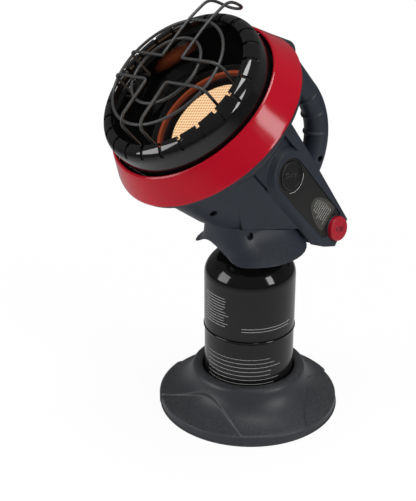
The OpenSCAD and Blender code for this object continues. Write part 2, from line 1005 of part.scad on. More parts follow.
module bowl() {
    color(colour_black)
        in_head()
            rotate_extrude($fn = 144) {
                bowl_rim_profile();
                polygon([[shroud_radius - sheet - clear, 9], [shroud_radius - sheet - clear, 10.5],
                    [86.4, 10], [85.2, 8.8], [83, 0], [80, -9], [76, -18], [71, -27], [65.5, -35.4],
                    [60, -burner_depth + 3.6], [60, -burner_depth + 2.6], [65, -37.2],
                    [66, -36.4], [71.8, -27.8], [77, -18.4], [81, -9.3], [84, -0.2], [86, 8.4], [86.8, 9]]);
            }
}

// Rim of the bowl: a wall inside the shroud that bends in under its crest.
module bowl_rim_profile() {
    rc = shroud_radius - shroud_round;
    zc = shroud_crest - shroud_round;
    outer = shroud_round - sheet - clear;
    translate([rc + outer - sheet, 9.6])
        square([sheet, zc - 9.6 + eps]);
    translate([rc, zc])
        intersection() {
            difference() {
                circle(r = outer);
                circle(r = outer - sheet);
            }
            translate([bowl_rim_end - rc, 0])
                square(20);
        }
}

// ---- Burner ----

module lead_hole() {
    translate([lead_x, lead_y, -burner_depth - 5])
        cylinder(h = 10, r = lead_radius + 0.4, $fn = 32);
}

module burner_rim() {
    color(colour_copper)
        in_head()
            difference() {
                translate([0, 0, -burner_depth])
                    rotate_extrude()
                        polygon([[rim_inner_radius, 0.3], [rim_inner_radius, 1.3], [57.4, 1.3], [58.4, 2.2],
                            [58.4, 6.2], [rim_radius, 6.2], [rim_radius, 5.2], [59.4, 5.2], [59.4, 0.9],
                            [58.8, 0.3]]);
                lead_hole();
            }
}

module plaque() {
    color(colour_ceramic)
        in_head()
            translate([0, 0, -burner_depth - plaque_thickness])
                cylinder(h = plaque_thickness, r = plaque_radius);
}

module burner_cup() {
    depth = 24;
    color(colour_steel)
        in_head()
            difference() {
                union() {
                    translate([0, 0, -burner_depth - depth])
                        cylinder(h = depth, r = plaque_radius + 1.4);
                    translate([0, 0, -burner_depth - 1])
                        cylinder(h = 1, r = 57);
                }
                translate([0, 0, -burner_depth - plaque_thickness - clear])
                    cylinder(h = plaque_thickness + 1, r = plaque_radius + clear);
                translate([0, 0, -burner_depth - depth + 1])
                    cylinder(h = depth, r = plaque_radius - 3);
                translate([0, 0, -burner_depth - depth - 1])
                    cylinder(h = depth, r = 9.5);
                lead_hole();
            }
}

module mixing_tube() {
    color(colour_steel)
        in_head()
            translate([0, 0, -jet_axis_depth])
                rotate_extrude()
                    polygon([[13, 4], [14, 4], [10, 16], [9.2, 26], [9.2, jet_axis_depth - 63], [14, jet_axis_depth - 63],
                        [14, jet_axis_depth - 62], [8.2, jet_axis_depth - 62], [8.2, 26], [9, 15.8]]);
}

module jet_holder() {
    color(colour_brass)
        in_head()
            translate([0, 0, -jet_axis_depth])
                difference() {
                    union() {
                        translate([0, 0, -10])
                            cylinder(h = 10, r = 6);
                        translate([0, 0, -eps])
                            cylinder(h = 6, r = 3.4);
                        translate([-28.6, -7, -6])
                            cube([57.2, 7.8, 2]);
                    }
                    translate([0, 0, -3])
                        cylinder(h = 20, r = 0.5, $fn = 24);
                    translate([0, 0, -11])
                        cylinder(h = 9, r = 2);
                }
}

module pilot_bracket() {
    color(colour_steel)
        in_head()
            difference() {
                rotate([0, 0, -60])
                    translate([53, 0, -burner_depth]) {
                        translate([-3, -9, 1.6])
                            cube([7, 18, 1]);
                        translate([3, -9, 1.6])
                            cube([1, 18, 9]);
                    }
                lead_hole();
            }
}

module spark_electrode() {
    color([0.93, 0.92, 0.88])
        in_head()
            rotate([0, 0, -60])
                translate([53, 6, -burner_depth]) {
                    translate([0, 0, 2.9])
                        cylinder(h = 9.9, r = 2.6);
                    translate([0, 0, 12])
                        cylinder(h = 6, r = 0.9);
                    rod([0, 0, 17.6], [-7, -3, 21], 0.9);
                }
}

module thermocouple() {
    color(colour_copper)
        in_head()
            rotate([0, 0, -60])
                translate([53, -6, -burner_depth]) {
                    translate([0, 0, 2.9])
                        cylinder(h = 14.9, r = 2.2);
                    translate([0, 0, 17])
                        cylinder(h = 8, r = 1.6);
                    translate([0, 0, 25])
                        sphere(r = 1.6);
                }
}

// ---- Guard ----

// Points of one arm's end: level wire, rounded corner, leg and foot; side mirrors it.
function arm_end(side) = [[side * (arm_reach - leg_round), corner, guard_height],
    [side * arm_reach, corner, guard_height - leg_round - 1], [side * arm_reach, corner, foot_level],
    [side * foot_reach, corner, foot_level]];

function reversed(points) = [for (i = [len(points) - 1 : -1 : 0]) points[i]];

// One bent wire: two arms that leave a corner at right angles, legs that drop into the bowl.
module bent_wire() {
    upright = [for (p = arm_end(1)) [p[1], p[0], p[2]]];
    path_rod(concat(reversed(upright), [[corner, corner, guard_height]], arm_end(1)), wire);
}

// The two upper wires are one piece, joined by the loop that reaches back over the bezel.
module upper_wire() {
    half_loop = [[corner, corner, guard_height], [corner, loop_bend, guard_height],
        [corner, loop_reach, guard_height - loop_drop]];
    mirrored_loop = [for (p = half_loop) [-p[0], p[1], p[2]]];
    path_rod(concat(reversed(arm_end(1)), half_loop, reversed(mirrored_loop), arm_end(-1)), wire);
}

module guard_loop_wire() {
    color(colour_wire)
        in_head()
            rotate([0, 0, guard_turn])
                upper_wire();
}

module guard_bent_wires() {
    color(colour_wire)
        in_head()
            for (side = [-1, 1])
                rotate([0, 0, guard_turn + (side > 0 ? 180 : 270)])
                    bent_wire();
}

// The inner ring lies under the arms, the outer one in the bends of the legs.
module guard_rings() {
    color(colour_wire)
        in_head() {
            guard_ring(guard_inner_ring, guard_height - wire_diameter + 0.1);
            guard_ring(guard_outer_ring, guard_height - outer_ring_drop);
        }
}

module guard_ring(radius, height) {
    translate([0, 0, height])
        rotate_extrude()
            translate([radius, 0])
                circle(r = wire, $fn = 32);
}

// ---- Gas way ----

module regulator() {
    color(colour_steel)
        difference() {
            union() {
                translate([0, 0, dome_height + 5])
                    cylinder(h = 20, r = 17);
                translate([0, 0, 214])
                    cylinder(h = regulator_top - 214, r = regulator_radius);
                translate([0, 20, 221])
                    rotate([-90, 0, 0])
                        cylinder(h = 14, r = 5.4);
            }
            translate([0, 0, dome_height])
                cylinder(h = seat_height - dome_height + 2.2, r = thread_radius + 0.06);
            translate([0, 0, 200])
                cylinder(h = 23.6, r = 2.4);
            translate([0, 0, 221])
                rotate([-90, 0, 0])
                    cylinder(h = 40, r = 1.6);
        }
}

module inlet_gasket() {
    color(colour_black)
        translate([0, 0, seat_height])
            difference() {
                cylinder(h = 1.8, r = thread_radius - 0.5);
                translate([0, 0, -1])
                    cylinder(h = 5, r = 5);
            }
}

module regulator_cover() {
    color(colour_steel)
        translate([0, 0, regulator_top + clear])
            difference() {
                union() {
                    cylinder(h = 3, r = regulator_radius);
                    cylinder(h = 9, r = 14);
                }
                translate([0, 0, 7])
                    cylinder(h = 5, r = 4);
            }
}

module lower_tube() {
    color(colour_copper)
        path_rod([[0, 34.3, 221], [0, 46, 221], [0, 46, 208.5], [-5.5, 72.5, 208.5], [-5.5, 72.5, 211.7]], tube_radius);
}

module safety_valve() {
    color(colour_brass)
        difference() {
            union() {
                translate([-9, 64, 212])
                    cube([18, 17, 18]);
                translate([0, 72.5, 230 - eps])
                    cylinder(h = 5, r = 5);
                in_panel()
                    translate([71, -4, -30])
                        cylinder(h = 10, r = 5);
            }
            in_panel()
                translate([71, -4, -26])
                    cylinder(h = 12, r = 2.46);
        }
}

module valve_stem() {
    color(colour_steel)
        in_panel()
            translate([71, -4, -19.5])
                cylinder(h = 9.8, r = 2.4);
}

module upper_tube() {
    color(colour_copper)
        path_rod([[0, 72.5, 235.3], [0, 72.5, 243], [0, 24, 251], [0, 16.6, 258.6]], tube_radius);
}

// ---- Controls ----

module plate_outline(grow) {
    difference() {
        union() {
            translate([0, -1])
                circle(r = 19.5 + grow);
            polygon([[-3, -20.5 - grow], [86, -20.5 - grow], [92 + grow, -15], [96 + grow, 8],
                [92 + grow, 15.5 + grow], [12, 18.4 + grow], [-3, 18.4 + grow]]);
        }
        translate([button_spacing, 0])
            circle(r = on_radius + 1.6 - grow);
    }
}

module control_plate() {
    color(colour_black)
        in_panel()
            translate([0, 0, -pocket + 0.05])
                linear_extrude(plate_thickness)
                    difference() {
                        plate_outline(0);
                        circle(r = off_radius + 1);
                    }
}

// Raised strokes of the letters; height of a letter is 6, stroke 1.1.
module letter_o() {
    difference() {
        circle(r = 2.9, $fn = 40);
        circle(r = 1.8, $fn = 40);
    }
}

module letter_f() {
    translate([-1.6, -2.9])
        square([1.1, 5.8]);
    translate([-1.6, 1.8])
        square([3.6, 1.1]);
    translate([-1.6, -0.5])
        square([2.9, 1.1]);
}

module letter_n() {
    polygon([[-2.2, -2.9], [-1.1, -2.9], [-1.1, 1.2], [1.1, -2.9], [2.2, -2.9], [2.2, 2.9],
        [1.1, 2.9], [1.1, -1.2], [-1.1, 2.9], [-2.2, 2.9]]);
}

module off_button() {
    color(colour_black)
        in_panel()
            difference() {
                union() {
                    translate([0, 0, flange_top - button_flange])
                        cylinder(h = button_flange, r = off_radius + 1.9);
                    translate([0, 0, flange_top - eps])
                        cylinder(h = off_top - flange_top - 1 + 2 * eps, r = off_radius);
                    translate([0, 0, off_top - 1])
                        cylinder(h = 1, r1 = off_radius, r2 = off_radius - 1);
                    translate([0, 0, off_post_end])
                        cylinder(h = 13, r = post_radius);
                }
                translate([0, 0, off_top - 0.9])
                    difference() {
                        cylinder(h = 2, r = off_radius - 2.4);
                        translate([0, 0, -1])
                            linear_extrude(1.6)
                                rotate(letter_turn)
                                    letters_off();
                    }
            }
}

module letters_off() {
    translate([-6.2, 0])
        letter_o();
    letter_f_at(0);
    letter_f_at(5.2);
}

module letter_f_at(x) {
    translate([x, 0])
        letter_f();
}

module on_button() {
    color(colour_red)
        in_panel() {
            translate([button_spacing, 0, 0]) {
                translate([0, 0, -5.8])
                    cylinder(h = on_top + 4.6, r = on_radius);
                translate([0, 0, on_top - 1.2 - eps])
                    cylinder(h = 1.2, r1 = on_radius, r2 = on_radius - 1.2);
                translate([0, 0, on_top - 0.1])
                    linear_extrude(0.5)
                        rotate(letter_turn)
                            union() {
                                translate([-3.4, 0])
                                    letter_o();
                                translate([3.2, 0])
                                    letter_n();
                            }
                translate([0, 0, on_post_end])
                    cylinder(h = 8, r = post_radius);
            }
            translate([65, -8, -9.4])
                cube([button_spacing - 65, 12, 3.7]);
        }
}

// Coil spring from tilted half rings.
module coil(radius, gauge, turns, pitch) {
    lean = asin(pitch / 4 / radius);
    for (i = [0 : turns - 1]) {
        translate([0, 0, i * pitch])
            rotate([0, -lean, 0])
                rotate_extrude(angle = 180, $fn = 48)
                    translate([radius, 0])
                        circle(r = gauge, $fn = 24);
        translate([0, 0, (i + 0.5) * pitch])
            rotate([0, lean, 0])
                rotate([0, 0, 180])
                    rotate_extrude(angle = 180, $fn = 48)
                        translate([radius, 0])
                            circle(r = gauge, $fn = 24);
    }
}

module off_spring() {
    color(colour_steel)
        in_panel()
            translate([0, 0, -16.48])
                coil(5.4, 0.5, 4, 2.875);
}

module on_spring() {
    color(colour_steel)
        in_panel()
            translate([button_spacing, 0, -18.75])
                coil(5.4, 0.5, 4, 2.2);
}

module piezo_igniter() {
    color(colour_black)
        in_panel()
            translate([button_spacing, 0, -46])
                difference() {
                    union() {
                        cylinder(h = piezo_top + 46, r = piezo_radius);
                        translate([-3, 4, 3])
                            cube([4.6, 14, 3]);
                    }
                    translate([0, 0, 18])
                        cylinder(h = 20, r = 3.06);
                }
}

module piezo_plunger() {
    color([0.85, 0.85, 0.82])
        in_panel()
            translate([button_spacing, 0, -21.5])
                cylinder(h = 8.2, r = 3);
}

module cutoff_switch() {
    color(colour_black)
        in_panel()
            translate([0, 0, -30])
                difference() {
                    union() {
                        translate([-10, -6, 0])
                            cube([20, 12, 12]);
                        for (turn = [0, 90])
                            rotate([0, 0, turn])
                                translate([-5, -4, switch_ear_top + 28])
                                    cube([switch_post_reach + 8, 8, 2]);
                    }
                    translate([0, 0, 4])
                        cylinder(h = 20, r = 2.06);
                    translate([0, 0, cutoff_pocket_floor + 30])
                        cylinder(h = 10, r = post_radius + clear);
                }
}

module cutoff_plunger() {
    color([0.85, 0.85, 0.82])
        in_panel()
            translate([0, 0, -22.4])
                cylinder(h = 4.8, r = 2);
}

module tip_switch() {
    color(colour_black)
        translate([-tip_switch_x, 40, 238])
            difference() {
                cylinder(h = 16, r = tip_switch_radius);
                translate([0, 0, 2])
                    cylinder(h = 12, r = 5);
            }
}

module igniter_lead() {
    color([0.80, 0.78, 0.74])
        in_head()
            path_rod([[-14.5, 28.6, -237.3], [-15.1, 31.3, -237.3], [-20, 30.4, -160], [-20, 6, -130],
                [-22, -8, -118], [lead_x, lead_y, -72], [lead_x, lead_y, -burner_depth + 2.6]], lead_radius);
}

foot();
cylinder_lower();
cylinder_upper();
cylinder_valve();
relief_valve();
skirt();
skirt_screws();
housing_right();
housing_left();
housing_screws();
bezel_ring();
shroud();
shroud_screws();
bowl();
burner_rim();
plaque();
burner_cup();
mixing_tube();
jet_holder();
guard_loop_wire();
guard_bent_wires();
guard_rings();
pilot_bracket();
spark_electrode();
thermocouple();
regulator();
regulator_cover();
inlet_gasket();
lower_tube();
upper_tube();
safety_valve();
valve_stem();
control_plate();
off_button();
on_button();
off_spring();
on_spring();
piezo_igniter();
piezo_plunger();
cutoff_switch();
cutoff_plunger();
tip_switch();
igniter_lead();
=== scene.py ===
import math
import bmesh
import bpy
import numpy as np
from mathutils import Matrix, Vector


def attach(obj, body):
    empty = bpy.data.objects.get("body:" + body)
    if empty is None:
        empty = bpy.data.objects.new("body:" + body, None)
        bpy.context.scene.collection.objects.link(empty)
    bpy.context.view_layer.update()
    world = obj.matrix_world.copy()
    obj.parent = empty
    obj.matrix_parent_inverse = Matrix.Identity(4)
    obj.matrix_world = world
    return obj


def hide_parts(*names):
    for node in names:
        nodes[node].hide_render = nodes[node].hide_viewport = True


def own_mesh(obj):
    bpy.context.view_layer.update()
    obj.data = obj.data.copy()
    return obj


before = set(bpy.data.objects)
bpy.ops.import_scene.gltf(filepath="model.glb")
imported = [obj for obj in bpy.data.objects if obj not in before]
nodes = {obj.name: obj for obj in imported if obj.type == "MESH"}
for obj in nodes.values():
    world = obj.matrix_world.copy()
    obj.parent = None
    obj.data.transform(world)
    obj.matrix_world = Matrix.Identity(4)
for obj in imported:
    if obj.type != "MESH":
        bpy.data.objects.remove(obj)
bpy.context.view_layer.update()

# ---------------------------------------------------------------- camera, light and floor
# A long lens above and to the right of the heater, looking down into the burner.
camera = bpy.data.cameras.new("studio_camera")
camera.sensor_width = 36.0
camera.lens = 86.5
camera.clip_start = 0.05
camera.clip_end = 60.0
camera_object = bpy.data.objects.new("studio_camera", camera)
bpy.context.scene.collection.objects.link(camera_object)
right, up, back = (0.56093, 0.82786, 0.0), (-0.35836, 0.24281, 0.90146), (0.74628, -0.50565, 0.43287)
eye = (0.9358, -0.6889, 0.7413)
camera_object.matrix_world = Matrix((*zip(right, up, back, eye), (0, 0, 0, 1)))
bpy.context.scene.camera = camera_object
bpy.context.scene.view_settings.view_transform = "Standard"


def softbox(name, place, aim, width, height, power):
    """A rectangular lamp at place, turned to face aim."""
    lamp = bpy.data.lights.new(name, "AREA")
    lamp.shape = "RECTANGLE"
    lamp.size, lamp.size_y, lamp.energy = width, height, power
    holder = bpy.data.objects.new(name, lamp)
    holder.location = place
    holder.rotation_mode = "QUATERNION"
    holder.rotation_quaternion = (Vector(aim) - Vector(place)).to_track_quat("-Z", "Y")
    bpy.context.scene.collection.objects.link(holder)


softbox("key_softbox", (-0.5, -1.7, 0.75), (0, -0.05, 0.25), 0.9, 1.1, 17)
softbox("side_strip", (1.8, 0.55, 0.9), (0, 0, 0.25), 0.5, 1.2, 17)
softbox("top_softbox", (0.2, -0.1, 2.1), (0, 0, 0.25), 0.8, 0.8, 19)


def math_node(tree, operation, first, second=None, third=None, clamp=False):
    """One arithmetic node; numbers go on its sockets and sockets are linked."""
    node = tree.nodes.new("ShaderNodeMath")
    node.operation, node.use_clamp = operation, clamp
    for socket, value in zip(node.inputs, (first, second, third)):
        if isinstance(value, (int, float)):
            socket.default_value = value
        elif value is not None:
            tree.links.new(value, socket)
    return node.outputs[0]


def shader_mix(tree, factor, first, second):
    """Shader that goes from the first to the second by a factor."""
    node = tree.nodes.new("ShaderNodeMixShader")
    tree.links.new(factor, node.inputs["Fac"])
    tree.links.new(first, node.inputs[1])
    tree.links.new(second, node.inputs[2])
    return node.outputs[0]


# The world is white to the eye, lights the heater evenly, and is dim where a glossy surface mirrors it.
WORLD_LIGHT, WORLD_MIRRORED = 0.42, 0.16
world = bpy.data.worlds.new("studio_white")
world.use_nodes = True
bpy.context.scene.world = world
sky = world.node_tree
sky.nodes.clear()
plain, white = (sky.nodes.new("ShaderNodeBackground") for _ in range(2))
for backdrop in (plain, white):
    backdrop.inputs["Color"].default_value = (1, 1, 1, 1)
white.inputs["Strength"].default_value = 1.0
ray = sky.nodes.new("ShaderNodeLightPath")
dimmed = math_node(sky, "MULTIPLY_ADD", ray.outputs["Is Glossy Ray"], WORLD_MIRRORED - WORLD_LIGHT,
                   WORLD_LIGHT)
sky.links.new(dimmed, plain.inputs["Strength"])
seen = math_node(sky, "MAXIMUM", ray.outputs["Is Camera Ray"], ray.outputs["Is Transmission Ray"])
sky.links.new(shader_mix(sky, seen, plain.outputs[0], white.outputs[0]),
              sky.nodes.new("ShaderNodeOutputWorld").inputs["Surface"])


def mesh_piece(name, points, faces, smooth=True, mark=None):
    """Puts arrays of points and faces into a new object at the origin, closes its poles by merging the
    points that coincide, and turns the faces outwards; mark is a number kept for each point."""
    mesh = bpy.data.meshes.new(name)
    mesh.from_pydata(points.tolist(), [], faces.tolist())
    if mark is not None:
        mesh.attributes.new("mark", "FLOAT", "POINT").data.foreach_set("value", mark.astype(np.float32))
    shell = bmesh.new()
    shell.from_mesh(mesh)
    bmesh.ops.remove_doubles(shell, verts=shell.verts, dist=1e-6)
    bmesh.ops.recalc_face_normals(shell, faces=shell.faces)
    shell.to_mesh(mesh)
    shell.free()
    mesh.update()
    if smooth:
        mesh.shade_smooth()
    piece = bpy.data.objects.new(name, mesh)
    bpy.context.scene.collection.objects.link(piece)
    return piece


def new_material(name):
    """A material with its own nodes; returns it, its node tree and its surface shader."""
    material = bpy.data.materials.new(name)
    material.use_nodes = True
    return material, material.node_tree, material.node_tree.nodes["Principled BSDF"]


def distance_from_origin(tree, vector):
    """Length of a vector."""
    node = tree.nodes.new("ShaderNodeVectorMath")
    node.operation = "LENGTH"
    tree.links.new(vector, node.inputs[0])
    return node.outputs["Value"]


def smooth_fade(tree, value, start, end, first, last):
    """Number that goes smoothly from first to last while a value goes from start to end."""
    node = tree.nodes.new("ShaderNodeMapRange")
    node.interpolation_type = "SMOOTHSTEP"
    for label, number in (("From Min", start), ("From Max", end), ("To Min", first), ("To Max", last)):
        node.inputs[label].default_value = number
    tree.links.new(value, node.inputs["Value"])
    return node.outputs["Result"]


# The floor is nearly white to the eye and keeps a faint shadow. Glossy surfaces mirror it as a pool of
# light that fades with the distance from the heater.
FLOOR_REACH = 9
corners = np.array([[-1, -1, 0], [1, -1, 0], [1, 1, 0], [-1, 1, 0]], float) * FLOOR_REACH
floor = mesh_piece("studio_floor", corners, np.array([[0, 1, 2, 3]]), smooth=False)
floor_paint, tree, paint = new_material("studio_floor")
paint.inputs["Base Color"].default_value = (0.86, 0.86, 0.86, 1)
paint.inputs["Roughness"].default_value = 0.9
paint.inputs["Specular IOR Level"].default_value = 0.1
glow, mirrored = (tree.nodes.new("ShaderNodeEmission") for _ in range(2))
glow.inputs["Strength"].default_value = 1.0
away = distance_from_origin(tree, tree.nodes.new("ShaderNodeTexCoord").outputs["Object"])
tree.links.new(smooth_fade(tree, away, 0.25, 1.1, 0.62, 0.10), mirrored.inputs["Strength"])
whiteness = smooth_fade(tree, away, 0.2, 0.9, 0.94, 1.0)
ray = tree.nodes.new("ShaderNodeLightPath")
share = math_node(tree, "MULTIPLY", ray.outputs["Is Camera Ray"], whiteness)
unseen = shader_mix(tree, ray.outputs["Is Glossy Ray"], paint.outputs[0], mirrored.outputs[0])
tree.links.new(shader_mix(tree, share, unseen, glow.outputs[0]),
               tree.nodes["Material Output"].inputs["Surface"])
floor.data.materials.append(floor_paint)


# ---------------------------------------------------------------- foot
# The wide foot is one charcoal moulding: a socket for the cylinder, a flared skirt and a rim with
# three leaf-shaped sunken fields. It is hollow underneath, with nine low ribs from socket to rim.
FOOT_RADIUS, RIM, COLLAR = 0.100, 0.012, 0.046
SOCKET, FOOT_WALL, FOOT_FLOOR = 0.0506, 0.003, 0.0057
LEAF_STEP, LEAF_DISC, LEAF_CENTRE, LEAF_BEARINGS = 0.0018, 0.178, 0.2445, (-78, 42, 162)
RIBS, RIB_SPAN, RIB_HALF, RIB_HEIGHT = 9, (0.053, 0.0965), 0.001, (0.001, 0.0066)


def bezier(a, b, c, d, count):
    """Points of the cubic curve from a to d with handles b and c, the start left out."""
    t = np.linspace(0, 1, count + 1)[1:, None]
    u = 1 - t
    a, b, c, d = (np.array(point) for point in (a, b, c, d))
    return u ** 3 * a + 3 * u * u * t * b + 3 * u * t * t * c + t ** 3 * d


def ring_faces(rings, around, closed_along=False):
    """Quads that join each ring of points to the next, with every ring closed on itself."""
    rows = np.arange(rings if closed_along else rings - 1)[:, None]
    cols = np.arange(around)[None, :]
    here, there = rows * around, (rows + 1) % rings * around
    after = (cols + 1) % around
    return np.stack([here + cols, here + after, there + after, there + cols], -1).reshape(-1, 4)


def foot_outside():
    """Radius and height along the outer skin, from the socket's lip over the collar to the rim."""
    start = np.array([[SOCKET, COLLAR - 0.0012]])
    lip = bezier((SOCKET, COLLAR - 0.0012), (SOCKET + 0.0006, COLLAR + 0.0006),
                 (0.0565, COLLAR + 0.0009), (0.0590, COLLAR + 0.0004), 10)
    shoulder = bezier((0.0590, COLLAR + 0.0004), (0.0612, COLLAR), (0.0628, COLLAR - 0.002),
                      (0.0634, COLLAR - 0.005), 8)
    flare = bezier((0.0634, COLLAR - 0.005), (0.066, RIM + 0.012), (0.080, RIM + 0.0045),
                   (0.095, RIM + 0.001), 34)
    rim = bezier((0.095, RIM + 0.001), (0.098, RIM + 0.0002), (FOOT_RADIUS - 0.0002, RIM - 0.0008),
                 (FOOT_RADIUS, RIM - 0.003), 10)
    side = np.array([[FOOT_RADIUS, RIM - 0.006], [FOOT_RADIUS, 0.0008], [FOOT_RADIUS - 0.0006, 0.0]])
    return np.vstack([start, lip, shoulder, flare, rim, side])


def foot_shell():
    """The outer skin is turned about the axis and sunk by the leaf step inside three large discs;
    the socket, the floor and the hollow underside follow as plain turned surfaces."""
    skin = foot_outside()
    under = bezier((0.0952, 0.0), (0.0952, 0.006), (0.078, 0.0108), (0.063, 0.020), 8)
    tube = SOCKET + FOOT_WALL
    hollow = np.vstack([[[0.0952, 0.0]], under, [[0.0602, 0.038], [0.058, 0.042], [tube, 0.042],
                                                 [tube, 0.0002], [tube - 0.0004, 0.0], [0.0, 0.0]]])
    inside = np.array([[0.0, FOOT_FLOOR], [0.020, FOOT_FLOOR], [SOCKET - 0.0006, FOOT_FLOOR],
                       [SOCKET, FOOT_FLOOR + 0.0006]])
    profile = np.vstack([inside, skin, hollow])
    step = np.zeros_like(profile)
    run = np.gradient(skin, axis=0)
    normal = np.stack([-run[:, 1], run[:, 0]], 1) / np.linalg.norm(run, axis=1)[:, None]
    weight = np.clip((skin[:, :1] - 0.0595) / 0.004, 0, 1) * np.clip((0.0001 + skin[:, 1:]) / 0.0006, 0, 1)
    step[len(inside):len(inside) + len(skin)] = -normal * weight * np.sign(normal[:, 1:2] + 0.4) * LEAF_STEP
    around = 720
    turn = np.linspace(0, 2 * np.pi, around, endpoint=False)[None, :]
    x, y = profile[:, :1] * np.cos(turn), profile[:, :1] * np.sin(turn)
    depth = np.full(x.shape, -1.0)
    for a in np.radians(LEAF_BEARINGS):
        from_centre = np.hypot(x - LEAF_CENTRE * math.cos(a), y - LEAF_CENTRE * math.sin(a))
        depth = np.maximum(depth, LEAF_DISC - from_centre)
    sink = np.clip(depth / 0.0009 + 0.5, 0, 1)
    sink = sink * sink * (3 - 2 * sink)
    r = profile[:, :1] + sink * np.minimum(step[:, :1], 0)
    z = profile[:, 1:] + sink * step[:, 1:]
    z = np.where(profile[:, 1:] <= 0.0009, profile[:, 1:], z)
    points = np.stack([r * np.cos(turn), r * np.sin(turn), z], -1).reshape(-1, 3)
    return points, ring_faces(len(profile), around)


points, faces = foot_shell()
rib = np.array([[r, s, z] for r in RIB_SPAN for s in (-RIB_HALF, RIB_HALF) for z in RIB_HEIGHT])
rib_sides = np.array([[0, 1, 3, 2], [4, 6, 7, 5], [0, 4, 5, 1], [2, 3, 7, 6], [0, 2, 6, 4], [1, 5, 7, 3]])
rib_points, rib_faces = [], []
for k in range(RIBS):
    a = k * 2 * np.pi / RIBS
    rib_points.append(np.stack([rib[:, 0] * math.cos(a) - rib[:, 1] * math.sin(a),
                                rib[:, 0] * math.sin(a) + rib[:, 1] * math.cos(a), rib[:, 2]], 1))
    rib_faces.append(rib_sides + len(points) + len(rib) * k)
foot = mesh_piece("foot_moulding", np.vstack([points] + rib_points), np.vstack([faces] + rib_faces))
foot.data.set_sharp_from_angle(angle=math.radians(50))
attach(foot, "stand")
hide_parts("foot")


def shader_group(name, numbers, results):
    """An empty shader node group with number inputs and the given outputs; returns tree, entry and exit."""
    group = bpy.data.node_groups.new(name, "ShaderNodeTree")
    for label, value in numbers.items():
        group.interface.new_socket(label, in_out="INPUT", socket_type="NodeSocketFloat").default_value = value
    for label in results:
        group.interface.new_socket(label, in_out="OUTPUT", socket_type="NodeSocketFloat")
    return group, group.nodes.new("NodeGroupInput"), group.nodes.new("NodeGroupOutput")


# Spark-eroded texture of a moulding: a fine pimple height, and a slow tone that drifts over the piece.
grain, entry, exit_ = shader_group("moulded_grain", {"Pimple Size": 0.0008, "Drift Size": 0.03},
                                   ("Height", "Tone"))
where = grain.nodes.new("ShaderNodeTexCoord").outputs["Object"]
pimples = grain.nodes.new("ShaderNodeTexNoise")
pimples.inputs["Detail"].default_value = 3
grain.links.new(where, pimples.inputs["Vector"])
grain.links.new(math_node(grain, "DIVIDE", 1.0, entry.outputs["Pimple Size"]), pimples.inputs["Scale"])
drift = grain.nodes.new("ShaderNodeTexNoise")
drift.inputs["Detail"].default_value = 2
grain.links.new(where, drift.inputs["Vector"])
grain.links.new(math_node(grain, "DIVIDE", 1.0, entry.outputs["Drift Size"]), drift.inputs["Scale"])
grain.links.new(pimples.outputs["Fac"], exit_.inputs["Height"])
grain.links.new(drift.outputs["Fac"], exit_.inputs["Tone"])

# Fine dust that settles on faces turned up: more where the face is level, broken up by noise.
dust, entry, exit_ = shader_group("settled_dust", {"Amount": 0.2}, ("Mask",))
facing = dust.nodes.new("ShaderNodeSeparateXYZ")
dust.links.new(dust.nodes.new("ShaderNodeNewGeometry").outputs["Normal"], facing.inputs[0])
level = math_node(dust, "POWER", math_node(dust, "MAXIMUM", facing.outputs["Z"], 0.0), 3.0)
specks = dust.nodes.new("ShaderNodeTexNoise")
specks.inputs["Scale"].default_value = 420
specks.inputs["Detail"].default_value = 4
dust.links.new(dust.nodes.new("ShaderNodeTexCoord").outputs["Object"], specks.inputs["Vector"])
patches = math_node(dust, "SUBTRACT", specks.outputs["Fac"], 0.3, clamp=True)
spread = math_node(dust, "MULTIPLY", level, patches)
dust.links.new(math_node(dust, "MULTIPLY", spread, entry.outputs["Amount"], clamp=True), exit_.inputs["Mask"])


def use_group(tree, group, **numbers):
    """Places a shader group in a material with its own values."""
    node = tree.nodes.new("ShaderNodeGroup")
    node.node_tree = group
    for label, value in numbers.items():
        node.inputs[label.replace("_", " ")].default_value = value
    return node


def tinted(tree, factor, low, high):
    """Colour between low and high by a factor."""
    node = tree.nodes.new("ShaderNodeMix")
    node.data_type = "RGBA"
    tree.links.new(factor, node.inputs["Factor"])
    for socket, colour in ((node.inputs[6], low), (node.inputs[7], high)):
        if isinstance(colour, tuple):
            socket.default_value = colour + (1,)
        else:
            tree.links.new(colour, socket)
    return node.outputs[2]


def between(tree, factor, low, high):
    """Number between low and high by a factor."""
    return math_node(tree, "MULTIPLY_ADD", factor, high - low, low)


def rounded_bump(tree, height, strength, distance, edge=0.0):
    """Bump from a height, on a normal that a small radius softens at the edges where one is given."""
    bump = tree.nodes.new("ShaderNodeBump")
    bump.inputs["Strength"].default_value = strength
    bump.inputs["Distance"].default_value = distance
    tree.links.new(height, bump.inputs["Height"])
    if edge:
        bevel = tree.nodes.new("ShaderNodeBevel")
        bevel.samples = 6
        bevel.inputs["Radius"].default_value = edge
        tree.links.new(bevel.outputs[0], bump.inputs["Normal"])
    return bump.outputs[0]


def moulded_plastic(name, colour, rough, specular=0.5, pimple=0.0008, depth=0.25, edge=0.0, dusty=0.25):
    """Textured moulded plastic: pimple bump, drifting tone and gloss, and a little dust on level faces."""
    material, tree, surface = new_material(name)
    surface.inputs["Specular IOR Level"].default_value = specular
    texture = use_group(tree, grain, Pimple_Size=pimple)
    tone = texture.outputs["Tone"]
    shade = tinted(tree, tone, tuple(c * 0.82 for c in colour), tuple(c * 1.2 for c in colour))
    film = use_group(tree, dust, Amount=dusty)
    dusted = tinted(tree, film.outputs["Mask"], shade, (0.32, 0.31, 0.30))
    tree.links.new(dusted, surface.inputs["Base Color"])
    tree.links.new(between(tree, tone, rough - 0.06, rough + 0.08), surface.inputs["Roughness"])
    bump = rounded_bump(tree, texture.outputs["Height"], depth, 0.0002, edge)
    tree.links.new(bump, surface.inputs["Normal"])
    return material


